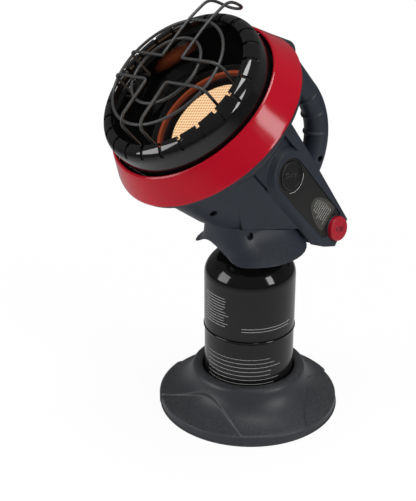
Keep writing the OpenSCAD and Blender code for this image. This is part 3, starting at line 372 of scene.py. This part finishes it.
foot.data.materials.append(moulded_plastic("foot_plastic", (0.022, 0.024, 0.029), 0.44, specular=0.42,
                                           pimple=0.0009, depth=0.3))


# ---------------------------------------------------------------- gas cylinder
# Two drawn steel shells welded at a bead near mid height, in gloss black paint. The wrapped label is
# bare satin charcoal with plain ruled lines; a steel valve boss and a small relief valve stand on the dome.
def turned(profile, around, close=False):
    """Surface of revolution about the Z axis: each profile point makes one ring."""
    turn = np.linspace(0, 2 * np.pi, around, endpoint=False)[None, :]
    p = np.asarray(profile, float)
    rings = np.stack([p[:, :1] * np.cos(turn), p[:, :1] * np.sin(turn), p[:, 1:] + 0 * turn], -1)
    return rings.reshape(-1, 3), ring_faces(len(p), around, close)


def smooth_through(corners, count):
    """Points evenly spread along a smooth curve through the corners: cubic pieces over chord length."""
    c = np.asarray(corners, float)
    s = np.concatenate([[0], np.cumsum(np.linalg.norm(np.diff(c, axis=0), axis=1))])
    slope = np.gradient(c, s, axis=0)
    t = np.linspace(0, s[-1], count)
    i = np.clip(np.searchsorted(s, t, side="right") - 1, 0, len(s) - 2)
    h = (s[i + 1] - s[i])[:, None]
    u = ((t - s[i])[:, None]) / h
    return ((2 * u ** 3 - 3 * u ** 2 + 1) * c[i] + (u ** 3 - 2 * u ** 2 + u) * h * slope[i]
            + (-2 * u ** 3 + 3 * u ** 2) * c[i + 1] + (u ** 3 - u ** 2) * h * slope[i + 1])


CYLINDER, SEAM = 0.0495, 0.0984
LABEL_BANDS, RULE_INK = ((0.028, 0.0925), (0.1015, 0.1585)), 0.85
dome = smooth_through([[CYLINDER, 0.155], [CYLINDER, 0.160], [CYLINDER - 0.0008, 0.165],
                       [CYLINDER - 0.003, 0.170], [CYLINDER - 0.0065, 0.175], [CYLINDER - 0.0115, 0.180],
                       [CYLINDER - 0.018, 0.1846], [CYLINDER - 0.0245, 0.1881], [0.016, 0.191]], 60)
upper_profile = np.vstack([[[0.0, SEAM], [CYLINDER - 0.0008, SEAM], [CYLINDER, SEAM + 0.0006]], dome,
                           [[0.014, 0.1912], [0.0, 0.1912]]])
upper_shell = mesh_piece("cylinder_upper_shell", *turned(upper_profile, 256))
low_end = smooth_through([[0.026, 0.010], [0.034, 0.0062], [0.0365, 0.006], [0.0442, 0.0082],
                          [0.0475, 0.012], [0.0491, 0.018], [0.0491, 0.024]], 30)
weld_bead = smooth_through([[0.0491, 0.0940], [0.0494, 0.0953], [0.0502, 0.0962], [0.0503, 0.0974],
                            [0.0497, 0.0981], [0.0485, 0.0981]], 16)
lower_profile = np.vstack([[[0.0, 0.013]], low_end, [[0.0491, 0.0930]], weld_bead, [[0.0, 0.0981]]])
lower_shell = mesh_piece("cylinder_lower_shell", *turned(lower_profile, 256))
for piece, node in ((upper_shell, "cylinder_upper"), (lower_shell, "cylinder_lower")):
    piece.data.set_sharp_from_angle(angle=math.radians(50))
    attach(piece, "cylinder")
    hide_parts(node)

cylinder_paint, tree, surface = new_material("cylinder_paint")
xyz = tree.nodes.new("ShaderNodeSeparateXYZ")
tree.links.new(tree.nodes.new("ShaderNodeTexCoord").outputs["Object"], xyz.inputs[0])
bearing = math_node(tree, "ARCTAN2", xyz.outputs["Y"], xyz.outputs["X"])


def inside_band(tree, value, low, high):
    """1 where a value lies between two others, else 0."""
    return math_node(tree, "MULTIPLY", math_node(tree, "GREATER_THAN", value, low),
                     math_node(tree, "LESS_THAN", value, high))


def any_of(tree, masks):
    """1 where at least one of the masks is 1."""
    total = masks[0]
    for mask in masks[1:]:
        total = math_node(tree, "ADD", total, mask, clamp=True)
    return total


def ruled_block(tree, centre, half, low, high, pitch, thick, raggedness):
    """Mask of short printed rules: a window in bearing and height, a repeat in height, ragged right ends."""
    rise = math_node(tree, "SUBTRACT", xyz.outputs["Z"], low)
    row = math_node(tree, "DIVIDE", rise, pitch)
    stripe = math_node(tree, "LESS_THAN", math_node(tree, "FRACT", row), thick)
    chance = tree.nodes.new("ShaderNodeTexWhiteNoise")
    chance.noise_dimensions = "1D"
    tree.links.new(math_node(tree, "FLOOR", row), chance.inputs["W"])
    reach = math_node(tree, "MULTIPLY_ADD", chance.outputs["Value"], -raggedness, half)
    offset = math_node(tree, "SUBTRACT", bearing, centre)
    window = math_node(tree, "MULTIPLY", inside_band(tree, offset, -half, reach),
                       inside_band(tree, rise, 0.0, high - low))
    return math_node(tree, "MULTIPLY", stripe, window)


label = any_of(tree, [inside_band(tree, xyz.outputs["Z"], low, high) for low, high in LABEL_BANDS])
rules = any_of(tree, [ruled_block(tree, -1.46, 0.36, 0.113, 0.148, 0.0033, 0.2, 0.14),
                      ruled_block(tree, -0.80, 0.93, 0.046, 0.0765, 0.0050, 0.13, 0.30),
                      ruled_block(tree, -0.18, 0.62, 0.1105, 0.1165, 0.0034, 0.2, 0.12)])
texture = use_group(tree, grain, Pimple_Size=0.004, Drift_Size=0.05)
paper = tinted(tree, texture.outputs["Tone"], (0.0050, 0.0048, 0.0047), (0.0080, 0.0077, 0.0075))
printed = tinted(tree, math_node(tree, "MULTIPLY", rules, RULE_INK), paper, (0.34, 0.34, 0.34))
tree.links.new(tinted(tree, label, (0.0035, 0.0035, 0.0035), printed), surface.inputs["Base Color"])
gloss = math_node(tree, "MULTIPLY_ADD", label, 0.09, 0.07)
gloss = math_node(tree, "MULTIPLY_ADD", texture.outputs["Tone"], 0.04, gloss)
tree.links.new(gloss, surface.inputs["Roughness"])
tree.links.new(rounded_bump(tree, texture.outputs["Height"], 0.05, 0.0001), surface.inputs["Normal"])
surface.inputs["Specular IOR Level"].default_value = 0.38
upper_shell.data.materials.append(cylinder_paint)
lower_shell.data.materials.append(cylinder_paint)


def turned_metal(name, colour, rough, streak=0.0015):
    """Bare metal with fine tool marks: drifting tone, uneven gloss and a shallow bump."""
    material, tree, surface = new_material(name)
    surface.inputs["Metallic"].default_value = 1.0
    marks = use_group(tree, grain, Pimple_Size=streak, Drift_Size=0.012)
    tone, height = marks.outputs["Tone"], marks.outputs["Height"]
    dull, bright = tuple(c * 0.78 for c in colour), tuple(min(1, c * 1.15) for c in colour)
    tree.links.new(tinted(tree, tone, dull, bright), surface.inputs["Base Color"])
    tree.links.new(between(tree, height, rough - 0.1, rough + 0.14), surface.inputs["Roughness"])
    tree.links.new(rounded_bump(tree, height, 0.12, 0.0001), surface.inputs["Normal"])
    return material


def dress(material, *names):
    """Gives CAD nodes their material."""
    for name in names:
        nodes[name].data.materials.clear()
        nodes[name].data.materials.append(material)


steel = turned_metal("steel", (0.56, 0.57, 0.58), 0.32)
brass = turned_metal("brass", (0.66, 0.50, 0.22), 0.30)
dress(steel, "cylinder_valve")
dress(brass, "relief_valve")


# ---------------------------------------------------------------- housing and skirt
# Two blue-grey half shells, clamped by four screws, form the cone behind the bezel, the neck, the arm
# and the handle; the skirt below them is a separate moulding that hides the gas connection.
body_plastic = moulded_plastic("body_plastic", (0.016, 0.0205, 0.030), 0.44, specular=0.42, pimple=0.0007,
                               depth=0.22, edge=0.0013)
dress(body_plastic, "housing_right", "housing_left")


def smooth_copy(name, node, body, angle, material):
    """A merged copy of a CAD node, shaded smooth except at edges sharper than the angle."""
    mesh = nodes[node].data.copy()
    mesh.name = name
    piece = bpy.data.objects.new(name, mesh)
    bpy.context.scene.collection.objects.link(piece)
    piece.modifiers.new("weld", "WELD").merge_threshold = 0.00002
    bpy.context.view_layer.update()
    welded = bpy.data.meshes.new_from_object(piece.evaluated_get(bpy.context.evaluated_depsgraph_get()))
    piece.modifiers.clear()
    piece.data = welded
    if welded.has_custom_normals:
        with bpy.context.temp_override(object=piece, active_object=piece, selected_objects=[piece]):
            bpy.ops.mesh.customdata_custom_splitnormals_clear()
    welded.shade_smooth()
    welded.set_sharp_from_angle(angle=math.radians(angle))
    welded.materials.clear()
    welded.materials.append(material)
    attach(piece, body)
    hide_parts(node)
    return piece


smooth_copy("skirt_moulding", "skirt", "head", 32, body_plastic)
dark_steel = turned_metal("dark_steel", (0.10, 0.10, 0.11), 0.38)
dress(dark_steel, "skirt_screws", "housing_screws", "shroud_screws")


# ---------------------------------------------------------------- bezel ring
# A deep ring moulded in gloss red plastic. It snaps over the flange of the cone and frames the black
# shroud.
def glossy_coat(name, colour, rough, specular=0.5, ripple=0.08, dusty=0.06, edge=0.0):
    """Gloss paint or enamel: faint orange-peel ripple, drifting tone and a trace of dust."""
    material, tree, surface = new_material(name)
    surface.inputs["Specular IOR Level"].default_value = specular
    texture = use_group(tree, grain, Pimple_Size=0.003, Drift_Size=0.04)
    tone = texture.outputs["Tone"]
    shade = tinted(tree, tone, tuple(c * 0.86 for c in colour), tuple(c * 1.12 for c in colour))
    film = use_group(tree, dust, Amount=dusty)
    dusted = tinted(tree, film.outputs["Mask"], shade, (0.35, 0.34, 0.33))
    tree.links.new(dusted, surface.inputs["Base Color"])
    tree.links.new(between(tree, tone, max(rough - 0.03, 0.02), rough + 0.05), surface.inputs["Roughness"])
    bump = rounded_bump(tree, texture.outputs["Height"], ripple, 0.00015, edge)
    tree.links.new(bump, surface.inputs["Normal"])
    return material


red_plastic = glossy_coat("red_plastic", (0.36, 0.0015, 0.012), 0.13, specular=0.32, edge=0.0008)
dress(red_plastic, "bezel_ring")


# ---------------------------------------------------------------- shroud and bowl
# Pressed sheet steel in gloss black enamel: the slotted crest stands proud of the bezel, and the bowl
# inside it funnels down to the burner.
HEAD_TILT, HEAD_PLACE = math.radians(40), np.array([0.0, -0.0755, 0.3681])
HEAD = np.array([[1, 0, 0], [0, math.cos(HEAD_TILT), -math.sin(HEAD_TILT)],
                 [0, math.sin(HEAD_TILT), math.cos(HEAD_TILT)]])


def in_head(points):
    """Head coordinates (x right, y up the face, z out of it) to the shared frame."""
    return points @ HEAD.T + HEAD_PLACE


black_enamel = glossy_coat("black_enamel", (0.0035, 0.0035, 0.0038), 0.06, specular=0.6, ripple=0.03,
                           dusty=0.02)
dress(black_enamel, "shroud")


def arc(centre, radius, start, end, count):
    """Points on a circle about centre, from the start angle to the end angle in degrees."""
    a = np.radians(np.linspace(start, end, count))
    return np.stack([centre[0] + radius * np.cos(a), centre[1] + radius * np.sin(a)], 1)


def head_spot(tree):
    """The shading point in head coordinates."""
    node = tree.nodes.new("ShaderNodeMapping")
    node.vector_type = "TEXTURE"
    node.inputs["Location"].default_value = tuple(HEAD_PLACE)
    node.inputs["Rotation"].default_value = (HEAD_TILT, 0, 0)
    tree.links.new(tree.nodes.new("ShaderNodeTexCoord").outputs["Object"], node.inputs["Vector"])
    parts = tree.nodes.new("ShaderNodeSeparateXYZ")
    tree.links.new(node.outputs[0], parts.inputs[0])
    return node.outputs[0], parts


CREST, RIM_OUTER, SHEET = (0.0775, 0.016), 0.0107, 0.001
GLOSS_LOW, GLOSS_HIGH = -0.032, 0.0105
bowl_inside = smooth_through([[0.0872, 0.0150], [0.0869, 0.0108], [0.0852, 0.0082], [0.083, 0.000],
                              [0.080, -0.009], [0.076, -0.018], [0.071, -0.027], [0.0655, -0.0350],
                              [0.0602, -0.0374]], 64)
bowl_outside = smooth_through([[0.0602, -0.0384], [0.0662, -0.0360], [0.0718, -0.0278], [0.077, -0.0184],
                               [0.081, -0.0093], [0.084, -0.0002], [0.0858, 0.0078], [0.0880, 0.0100]], 40)
bowl_rim = np.vstack([arc(CREST, RIM_OUTER, 2, 74, 24), arc(CREST, RIM_OUTER - SHEET, 74, 2, 24)])
bowl_points, bowl_faces = turned(np.vstack([bowl_inside, bowl_outside, bowl_rim]), 256, close=True)
bowl = mesh_piece("reflector_bowl", in_head(bowl_points), bowl_faces)
bowl.data.set_sharp_from_angle(angle=math.radians(50))
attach(bowl, "head")
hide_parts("bowl")
bowl_enamel = glossy_coat("bowl_enamel", (0.003, 0.003, 0.003), 0.06, specular=0.5, ripple=0.03, dusty=0.02)
tree = bowl_enamel.node_tree
surface = tree.nodes["Principled BSDF"]
spot, parts = head_spot(tree)
# The edges of the sheet, past the glossy part, are dull.
above_middle = math_node(tree, "ADD", parts.outputs["Z"], -(GLOSS_LOW + GLOSS_HIGH) / 2)
from_middle = math_node(tree, "ABSOLUTE", above_middle)
past_gloss = math_node(tree, "SUBTRACT", from_middle, (GLOSS_HIGH - GLOSS_LOW) / 2)
gloss = surface.inputs["Roughness"].links[0].from_socket
dull = math_node(tree, "MULTIPLY", past_gloss, 900.0, clamp=True)
tree.links.new(math_node(tree, "MAXIMUM", gloss, dull), surface.inputs["Roughness"])
# Painted reflection: the glowing plaque's reflection in the far wall is painted into the emission as a long
# warm smear.
plaque_reflection_map = tree.nodes.new("ShaderNodeMapping")
plaque_reflection_map.vector_type = "TEXTURE"
plaque_reflection_map.inputs["Location"].default_value = (-0.073, 0.036, -0.004)
plaque_reflection_map.inputs["Rotation"].default_value = (0, 0, math.radians(61))
plaque_reflection_map.inputs["Scale"].default_value = (0.030, 0.012, 0.008)
tree.links.new(spot, plaque_reflection_map.inputs["Vector"])
painted_plaque_reflection = math_node(tree, "SUBTRACT", 1.0, distance_from_origin(tree, plaque_reflection_map.outputs[0]), clamp=True)
speckle = use_group(tree, grain, Pimple_Size=0.0022, Drift_Size=0.012)
painted_plaque_reflection = math_node(tree, "MULTIPLY", painted_plaque_reflection, between(tree, speckle.outputs["Height"], 0.1, 1.6))
# The painted reflection goes into the emission colour; the bowl gives no light of its own.
tree.links.new(tinted(tree, painted_plaque_reflection, (0.0, 0.0, 0.0), (0.095, 0.020, 0.007)), surface.inputs["Emission Color"])
surface.inputs["Emission Strength"].default_value = 1.0
bowl.data.materials.append(bowl_enamel)


# ---------------------------------------------------------------- burner
# A round ceramic plaque with rows of small fire holes glows behind a stepped steel rim; the cup behind
# it, the mixing tube and the brass jet feed it with gas and air.
PLAQUE_DEPTH, PLAQUE_THICK, PLAQUE_RADIUS, HOLE_PITCH, HOLE_DEPTH = 0.040, 0.0118, 0.0500, 0.0034, 0.0006


def plaque_face():
    """A disc on a polar grid whose height dips in a diamond lattice of small holes: the sum of two
    cosines at right angles peaks at every hole, and a ramp on that sum gives the depth."""
    rings, around = 150, 560
    r = np.linspace(0.0002, PLAQUE_RADIUS - 0.0002, rings)[:, None]
    turn = np.linspace(0, 2 * np.pi, around, endpoint=False)[None, :]
    x, y = r * np.cos(turn), r * np.sin(turn)
    k = 2 * np.pi / HOLE_PITCH
    waves = sum(np.cos(k * (x * math.cos(a) + y * math.sin(a))) for a in np.radians([20, 110]))
    hole = np.clip((waves + 0.7) / 1.3, 0, 1)
    top = np.stack([x, y, -PLAQUE_DEPTH - HOLE_DEPTH * hole], -1)
    rim = np.stack([np.cos(turn[0]) * PLAQUE_RADIUS, np.sin(turn[0]) * PLAQUE_RADIUS,
                    np.full(around, -PLAQUE_DEPTH - HOLE_DEPTH)], -1)
    low_rim = rim - np.array([0, 0, PLAQUE_THICK - HOLE_DEPTH])
    base = np.tile([0, 0, -PLAQUE_DEPTH - PLAQUE_THICK], (around, 1))
    centre = np.tile([0, 0, -PLAQUE_DEPTH], (around, 1))
    points = np.vstack([base, low_rim, rim, top[::-1].reshape(-1, 3), centre])
    lit = np.concatenate([np.zeros(3 * around), hole[::-1].reshape(-1), np.zeros(around)])
    return points, ring_faces(rings + 4, around), lit


points, faces, lit_holes = plaque_face()
plaque = mesh_piece("fire_plaque", in_head(points), faces, mark=lit_holes)
plaque.data.set_sharp_from_angle(angle=math.radians(60))
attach(plaque, "head")
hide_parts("plaque")
ceramic, tree, surface = new_material("ceramic")
hole = tree.nodes.new("ShaderNodeAttribute")
hole.attribute_name = "mark"
texture = use_group(tree, grain, Pimple_Size=0.0012, Drift_Size=0.02)
heat = tinted(tree, texture.outputs["Tone"], (0.62, 0.26, 0.09), (0.74, 0.34, 0.14))
tree.links.new(tinted(tree, hole.outputs["Fac"], heat, (1.0, 0.76, 0.46)), surface.inputs["Emission Color"])
surface.inputs["Emission Strength"].default_value = 0.98
tree.links.new(tinted(tree, texture.outputs["Tone"], (0.05, 0.035, 0.02), (0.08, 0.055, 0.04)),
               surface.inputs["Base Color"])
surface.inputs["Roughness"].default_value = 0.9
tree.links.new(rounded_bump(tree, texture.outputs["Height"], 0.3, 0.0002), surface.inputs["Normal"])
plaque.data.materials.append(ceramic)

rim_profile = np.array([[0.048, 0.0003], [0.048, 0.0013], [0.0568, 0.0013], [0.0580, 0.0017],
                        [0.0584, 0.0026], [0.0584, 0.0052], [0.0587, 0.0060], [0.0594, 0.0063],
                        [0.0612, 0.0063], [0.062, 0.0060], [0.062, 0.0052], [0.0598, 0.0050],
                        [0.0594, 0.0046], [0.0594, 0.0012], [0.0590, 0.0003]])
rim_profile[:, 1] -= PLAQUE_DEPTH
rim_points, rim_faces = turned(rim_profile, 200, close=True)
burner_rim = mesh_piece("burner_rim_ring", in_head(rim_points), rim_faces)
burner_rim.data.set_sharp_from_angle(angle=math.radians(40))
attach(burner_rim, "head")
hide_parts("burner_rim")
hot_steel, tree, surface = new_material("hot_steel")
surface.inputs["Metallic"].default_value = 0.7
_, parts = head_spot(tree)
radius = math_node(tree, "SQRT", math_node(tree, "ADD", math_node(tree, "POWER", parts.outputs["X"], 2.0),
                                          math_node(tree, "POWER", parts.outputs["Y"], 2.0)))
# The outer step of the rim is reddish and carries a painted glow: red emission on steel that gives no light
# of its own.
outer = math_node(tree, "MULTIPLY", math_node(tree, "SUBTRACT", radius, 0.0578), 600.0, clamp=True)
texture = use_group(tree, grain, Pimple_Size=0.002, Drift_Size=0.01)
tint = tinted(tree, texture.outputs["Tone"], (0.15, 0.042, 0.023), (0.26, 0.08, 0.045))
tree.links.new(tinted(tree, outer, (0.012, 0.011, 0.011), tint), surface.inputs["Base Color"])
tree.links.new(tinted(tree, outer, (0.0, 0.0, 0.0), (0.19, 0.032, 0.011)), surface.inputs["Emission Color"])
surface.inputs["Emission Strength"].default_value = 1.0
tree.links.new(between(tree, texture.outputs["Height"], 0.3, 0.5), surface.inputs["Roughness"])
tree.links.new(rounded_bump(tree, texture.outputs["Height"], 0.15, 0.0001), surface.inputs["Normal"])
burner_rim.data.materials.append(hot_steel)

copper = turned_metal("copper", (0.60, 0.32, 0.19), 0.34)
porcelain = glossy_coat("porcelain", (0.80, 0.78, 0.72), 0.16, ripple=0.04)
dress(steel, "burner_cup", "mixing_tube", "pilot_bracket")
dress(brass, "jet_holder")
dress(copper, "thermocouple")
dress(porcelain, "spark_electrode")


# ---------------------------------------------------------------- wire guard
# Three bent wires make a cross of paired arms over the burner, welded to two rings. Their legs drop into
# the bowl, and the upper pair runs on as one loop that reaches back over the bezel.
WIRE, PAIR, GUARD_TURN = 0.0015, 0.01425, math.radians(11)


def rounded_corners(corners, bend, steps=9):
    """The path through the corners with every corner replaced by an arc-like curve of the given reach."""
    c = np.asarray(corners, float)
    parts = [c[:1]]
    for a, b, d in zip(c[:-2], c[1:-1], c[2:]):
        reach = min(bend, np.linalg.norm(a - b) * 0.49, np.linalg.norm(d - b) * 0.49)
        start = b + (a - b) / np.linalg.norm(a - b) * reach
        end = b + (d - b) / np.linalg.norm(d - b) * reach
        t = np.linspace(0, 1, steps)[:, None]
        parts.append((1 - t) ** 2 * start + 2 * t * (1 - t) * b + t ** 2 * end)
    parts.append(c[-1:])
    return np.vstack(parts)


def wire_along(path, radius, sides=14):
    """Round tube carried along a path: each ring lies in the plane square to the path, turned as little
    as possible from the ring before; both ends are drawn in, down to a pinhole."""
    run = np.gradient(path, axis=0)
    run /= np.linalg.norm(run, axis=1)[:, None]
    side = np.cross(run[0], [0.3, 0.5, 0.8])
    across = []
    for t in run:
        side = side - t * np.dot(side, t)
        side = side / np.linalg.norm(side)
        across.append(side)
    u = np.array(across)
    v = np.cross(run, u)
    lead = np.array([path[0] - run[0] * radius, path[0] - run[0] * radius * 0.6])
    tail = np.array([path[-1] + run[-1] * radius * 0.6, path[-1] + run[-1] * radius])
    centre = np.vstack([lead, path, tail])
    size = radius * np.concatenate([[0.05, 0.8], np.ones(len(path)), [0.8, 0.05]])[:, None, None]
    u, v = (np.vstack([w[:1], w[:1], w, w[-1:], w[-1:]])[:, None] for w in (u, v))
    turn = np.linspace(0, 2 * np.pi, sides, endpoint=False)[None, :, None]
    rings = centre[:, None] + size * (np.cos(turn) * u + np.sin(turn) * v)
    return rings.reshape(-1, 3), ring_faces(len(centre), sides)


def joined(parts):
    """Stacks (points, faces) pairs into one pair."""
    shift, points, faces = 0, [], []
    for p, f in parts:
        points.append(p)
        faces.append(f + shift)
        shift += len(p)
    return np.vstack(points), np.vstack(faces)


def turned_guard(points):
    """Turns guard coordinates about the head's axis by the cross's small turn."""
    c, s = math.cos(GUARD_TURN), math.sin(GUARD_TURN)
    return in_head(points @ np.array([[c, -s, 0], [s, c, 0], [0, 0, 1]]).T)


LEVEL, LEG_FOOT, BEND = 0.046, 0.006, 0.0042
arm = np.array([[0.058, LEVEL], [0.0655, LEVEL - 0.0055], [0.0660, LEG_FOOT + 0.001], [0.0822, LEG_FOOT]])


def arm_of(direction, offset):
    """One arm's corners: out along a direction at a sideways offset, down the leg, out along its foot."""
    d, n = np.array(direction), np.array([-direction[1], direction[0]])
    return np.array([[*(d * a + n * offset), z] for a, z in arm])


def corner_wire(first, second):
    """Two arms that leave a corner at right angles; the corner is where their two lines cross."""
    corner = (np.array(first) + np.array(second)) * PAIR
    one, two = (arm_of(d, np.dot(corner, [-d[1], d[0]])) for d in (first, second))
    return np.vstack([one[::-1], [[*corner, LEVEL]], two])


loop_rise = np.array([[PAIR, 0.018, LEVEL], [PAIR, 0.046, 0.0450], [PAIR, 0.064, 0.0433],
                      [PAIR, 0.080, 0.0402], [PAIR, 0.087, 0.0385], [PAIR, 0.0925, 0.0350],
                      [PAIR, 0.0965, 0.0290]])
loop_end = np.array([[0.0125, 0.1005, 0.0190], [0.0080, 0.1012, 0.0150], [0.0, 0.1014, 0.0135]])
right_arm, left_arm = arm_of((1, 0), PAIR), arm_of((-1, 0), -PAIR)
mirror = np.array([-1, 1, 1])
loop_corners = np.vstack([right_arm[::-1], [[PAIR, PAIR, LEVEL]], loop_rise, loop_end,
                          (loop_end * mirror)[::-1][1:], (loop_rise * mirror)[::-1],
                          [[-PAIR, PAIR, LEVEL]], left_arm])
loop_points, loop_faces = wire_along(rounded_corners(loop_corners, BEND), WIRE)
loop_wire = mesh_piece("guard_loop", turned_guard(loop_points), loop_faces)
bent_points, bent_faces = joined([wire_along(rounded_corners(corner_wire(a, b), BEND), WIRE)
                                  for a, b in (((-1, 0), (0, -1)), ((0, -1), (1, 0)))])
bent_wires = mesh_piece("guard_corner_wires", turned_guard(bent_points), bent_faces)


def wire_ring(radius, height, around=180, sides=14):
    """A torus of guard wire about the head's axis."""
    turn = np.linspace(0, 2 * np.pi, sides, endpoint=False)
    section = np.stack([radius + WIRE * np.cos(turn), height + WIRE * np.sin(turn)], 1)
    return turned(section, around, close=True)


ring_points, ring_quads = joined([wire_ring(0.0394, LEVEL - 0.0029), wire_ring(0.0630, LEVEL - 0.0044)])
guard_hoops = mesh_piece("guard_hoops", in_head(ring_points), ring_quads)
wire_paint = glossy_coat("wire", (0.030, 0.029, 0.029), 0.38, specular=0.5, ripple=0.15, dusty=0.15)
for piece, node in ((loop_wire, "guard_loop_wire"), (bent_wires, "guard_bent_wires"),
                    (guard_hoops, "guard_rings")):
    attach(piece, "head")
    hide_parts(node)
    piece.data.materials.append(wire_paint)


# ---------------------------------------------------------------- gas way inside the head
# The cast zinc regulator screws onto the cylinder over a rubber gasket. Copper tubes lead from it
# through the brass safety valve to the jet, and a rubber-covered lead runs to the spark electrode.
zinc = turned_metal("zinc", (0.50, 0.51, 0.52), 0.45, streak=0.001)
rubber = moulded_plastic("rubber", (0.012, 0.012, 0.012), 0.75, specular=0.3)
lead_rubber = moulded_plastic("lead_rubber", (0.50, 0.46, 0.40), 0.55, specular=0.4)
dress(zinc, "regulator", "regulator_cover")
dress(rubber, "inlet_gasket")
dress(copper, "lower_tube", "upper_tube")
dress(brass, "safety_valve")
dress(steel, "valve_stem")
dress(lead_rubber, "igniter_lead")


# ---------------------------------------------------------------- controls
# A satin label plate lies in a pocket of the panel. OFF is a black button in a well at the top of the
# pod; ON is a larger red button at the end of the arm. Both work small plungers behind the wall.
panel_label = moulded_plastic("panel_label", (0.011, 0.0105, 0.010), 0.36, pimple=0.0005, depth=0.1)
black_plastic = moulded_plastic("black_plastic", (0.0055, 0.0055, 0.006), 0.38, pimple=0.0006, depth=0.12,
                                edge=0.0006)
red_button = moulded_plastic("red_button", (0.33, 0.004, 0.016), 0.30, pimple=0.0006, depth=0.08, edge=0.0006,
                             dusty=0.05)
white_plastic = moulded_plastic("white_plastic", (0.72, 0.72, 0.70), 0.4)
dress(panel_label, "control_plate")
dress(black_plastic, "off_button", "piezo_igniter", "cutoff_switch", "tip_switch")
dress(red_button, "on_button")
dress(white_plastic, "piezo_plunger", "cutoff_plunger")

DRAFT, PANEL_PLACE = math.radians(12), np.array([0.030, 0.019, -0.140])


def on_panel(x, y, z):
    """Panel coordinates (x down the arm, y across it, z out of the panel) to the shared frame."""
    x, y, z = np.broadcast_arrays(x, y, z)
    p = np.stack([z, y, -x], -1)
    c, s = math.cos(DRAFT), math.sin(DRAFT)
    turned_back = np.stack([c * p[..., 0] - s * p[..., 1], s * p[..., 0] + c * p[..., 1], p[..., 2]], -1)
    return in_head((turned_back + PANEL_PLACE).reshape(-1, 3))


PANEL_LOW, PANEL_HIGH = on_panel(0, 0, np.array([0.0, 1.0]))
PANEL_OUT = PANEL_HIGH - PANEL_LOW


def paint_light_and_shade_on_letters(material, low, high, colour):
    """Colours what lies between two heights above the panel, the tops of a button's raised letters, as
    painted light and shade.
    """
    tree = material.node_tree
    surface = tree.nodes["Principled BSDF"]
    height = tree.nodes.new("ShaderNodeVectorMath")
    height.operation = "DOT_PRODUCT"
    height.inputs[1].default_value = tuple(PANEL_OUT)
    tree.links.new(tree.nodes.new("ShaderNodeTexCoord").outputs["Object"], height.inputs[0])
    level = float(PANEL_LOW @ PANEL_OUT)
    mask = inside_band(tree, height.outputs["Value"], level + low, level + high)
    shade = surface.inputs["Base Color"].links[0].from_socket
    tree.links.new(tinted(tree, mask, shade, colour), surface.inputs["Base Color"])


# OFF: the letter tops, and a thin ring where the outer chamfer crosses that band, get a painted highlight.
paint_light_and_shade_on_letters(black_plastic, 0.00035, 0.00065, (0.026, 0.026, 0.027))
# ON: the letter tops are painted a darker red as painted shade.
paint_light_and_shade_on_letters(red_button, 0.0062, 0.0068, (0.15, 0.002, 0.007))


def pressed_spring(name, node, axis=PANEL_OUT):
    """The coil spring under a button, as a smooth copy of its CAD node with a mesh of its own."""
    spring = smooth_copy(name, node, "head", 60, steel)
    points = np.array([v.co for v in spring.data.vertices])
    rise = points @ axis
    tuple(points[rise.argmin()])
    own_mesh(spring)


pressed_spring("on_return_spring", "on_spring")
pressed_spring("off_return_spring", "off_spring")
PLATE_TOP, INK, INK_SUNK = -0.00025, 0.00006, 0.00002


def ink_strip(name, centre_line, half_width, material, level=PLATE_TOP):
    """A printed line: a thin flat strip along a centre line at a level, with a top and side walls."""
    line = np.asarray(centre_line, float)
    run = np.gradient(line, axis=0)
    across = np.stack([-run[:, 1], run[:, 0]], 1) / np.linalg.norm(run, axis=1)[:, None] * half_width
    low, high = level - INK_SUNK, level + INK
    section = [(line - across, low), (line - across, high), (line + across, high), (line + across, low)]
    points = np.stack([np.column_stack([p, np.full(len(p), z)]) for p, z in section], 1).reshape(-1, 3)
    last = len(points) - 1
    faces = np.vstack([ring_faces(len(line), 4), [[0, 1, 2, 3], [last, last - 1, last - 2, last - 3]]])
    piece = mesh_piece(name, on_panel(*points.T), faces, smooth=False)
    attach(piece, "head")
    piece.data.materials.append(material)


pale_ink = moulded_plastic("pale_ink", (0.52, 0.52, 0.51), 0.5, depth=0.05)
patch_ink = moulded_plastic("patch_ink", (0.040, 0.039, 0.034), 0.45, depth=0.08)
ink_strip("panel_arc", arc((0, 0), 0.0182, -52, 44, 40), 0.00022, pale_ink)
PATCH_START, PATCH_WIDEST, PATCH_END, PATCH_HALF = 0.0465, 0.080, 0.0815, 0.0158


def patch_side(x):
    """Half width of the rounded patch at a place along the arm: an ellipse that ends square."""
    return PATCH_HALF * np.sqrt(np.clip(1 - ((x - PATCH_WIDEST) / 0.034) ** 2, 0.02, 1))


quarter = np.linspace(0, np.pi / 2, 24)
along = np.append(PATCH_START + (PATCH_WIDEST - PATCH_START) * (1 - np.cos(quarter)), PATCH_END)
widths = patch_side(along)
outline = np.vstack([np.stack([along, widths], 1), np.stack([along, -widths], 1)[::-1]])
count = len(outline)
patch_points = on_panel(np.tile(outline[:, 0], 2), np.tile(outline[:, 1], 2),
                        np.repeat([PLATE_TOP - INK_SUNK, PLATE_TOP + INK], count))
patch_faces = [list(range(count))[::-1], list(range(count, 2 * count)), *ring_faces(2, count).tolist()]
patch_mesh = bpy.data.meshes.new("panel_patch")
patch_mesh.from_pydata(patch_points.tolist(), [], patch_faces)
patch_piece = bpy.data.objects.new("panel_patch", patch_mesh)
bpy.context.scene.collection.objects.link(patch_piece)
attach(patch_piece, "head")
patch_mesh.materials.append(patch_ink)
for k, x in enumerate(np.linspace(0.052, 0.0765, 9)):
    reach = min(patch_side(x), 0.0145) - 0.0026
    raggedness = 0.55 + 0.4 * (k * 5 % 7) / 7
    ink_strip(f"panel_rule_{k}", [[x, -reach * raggedness], [x, 0], [x, reach * 0.9]], 0.00016, pale_ink,
              level=PLATE_TOP + INK)

bpy.context.view_layer.update()
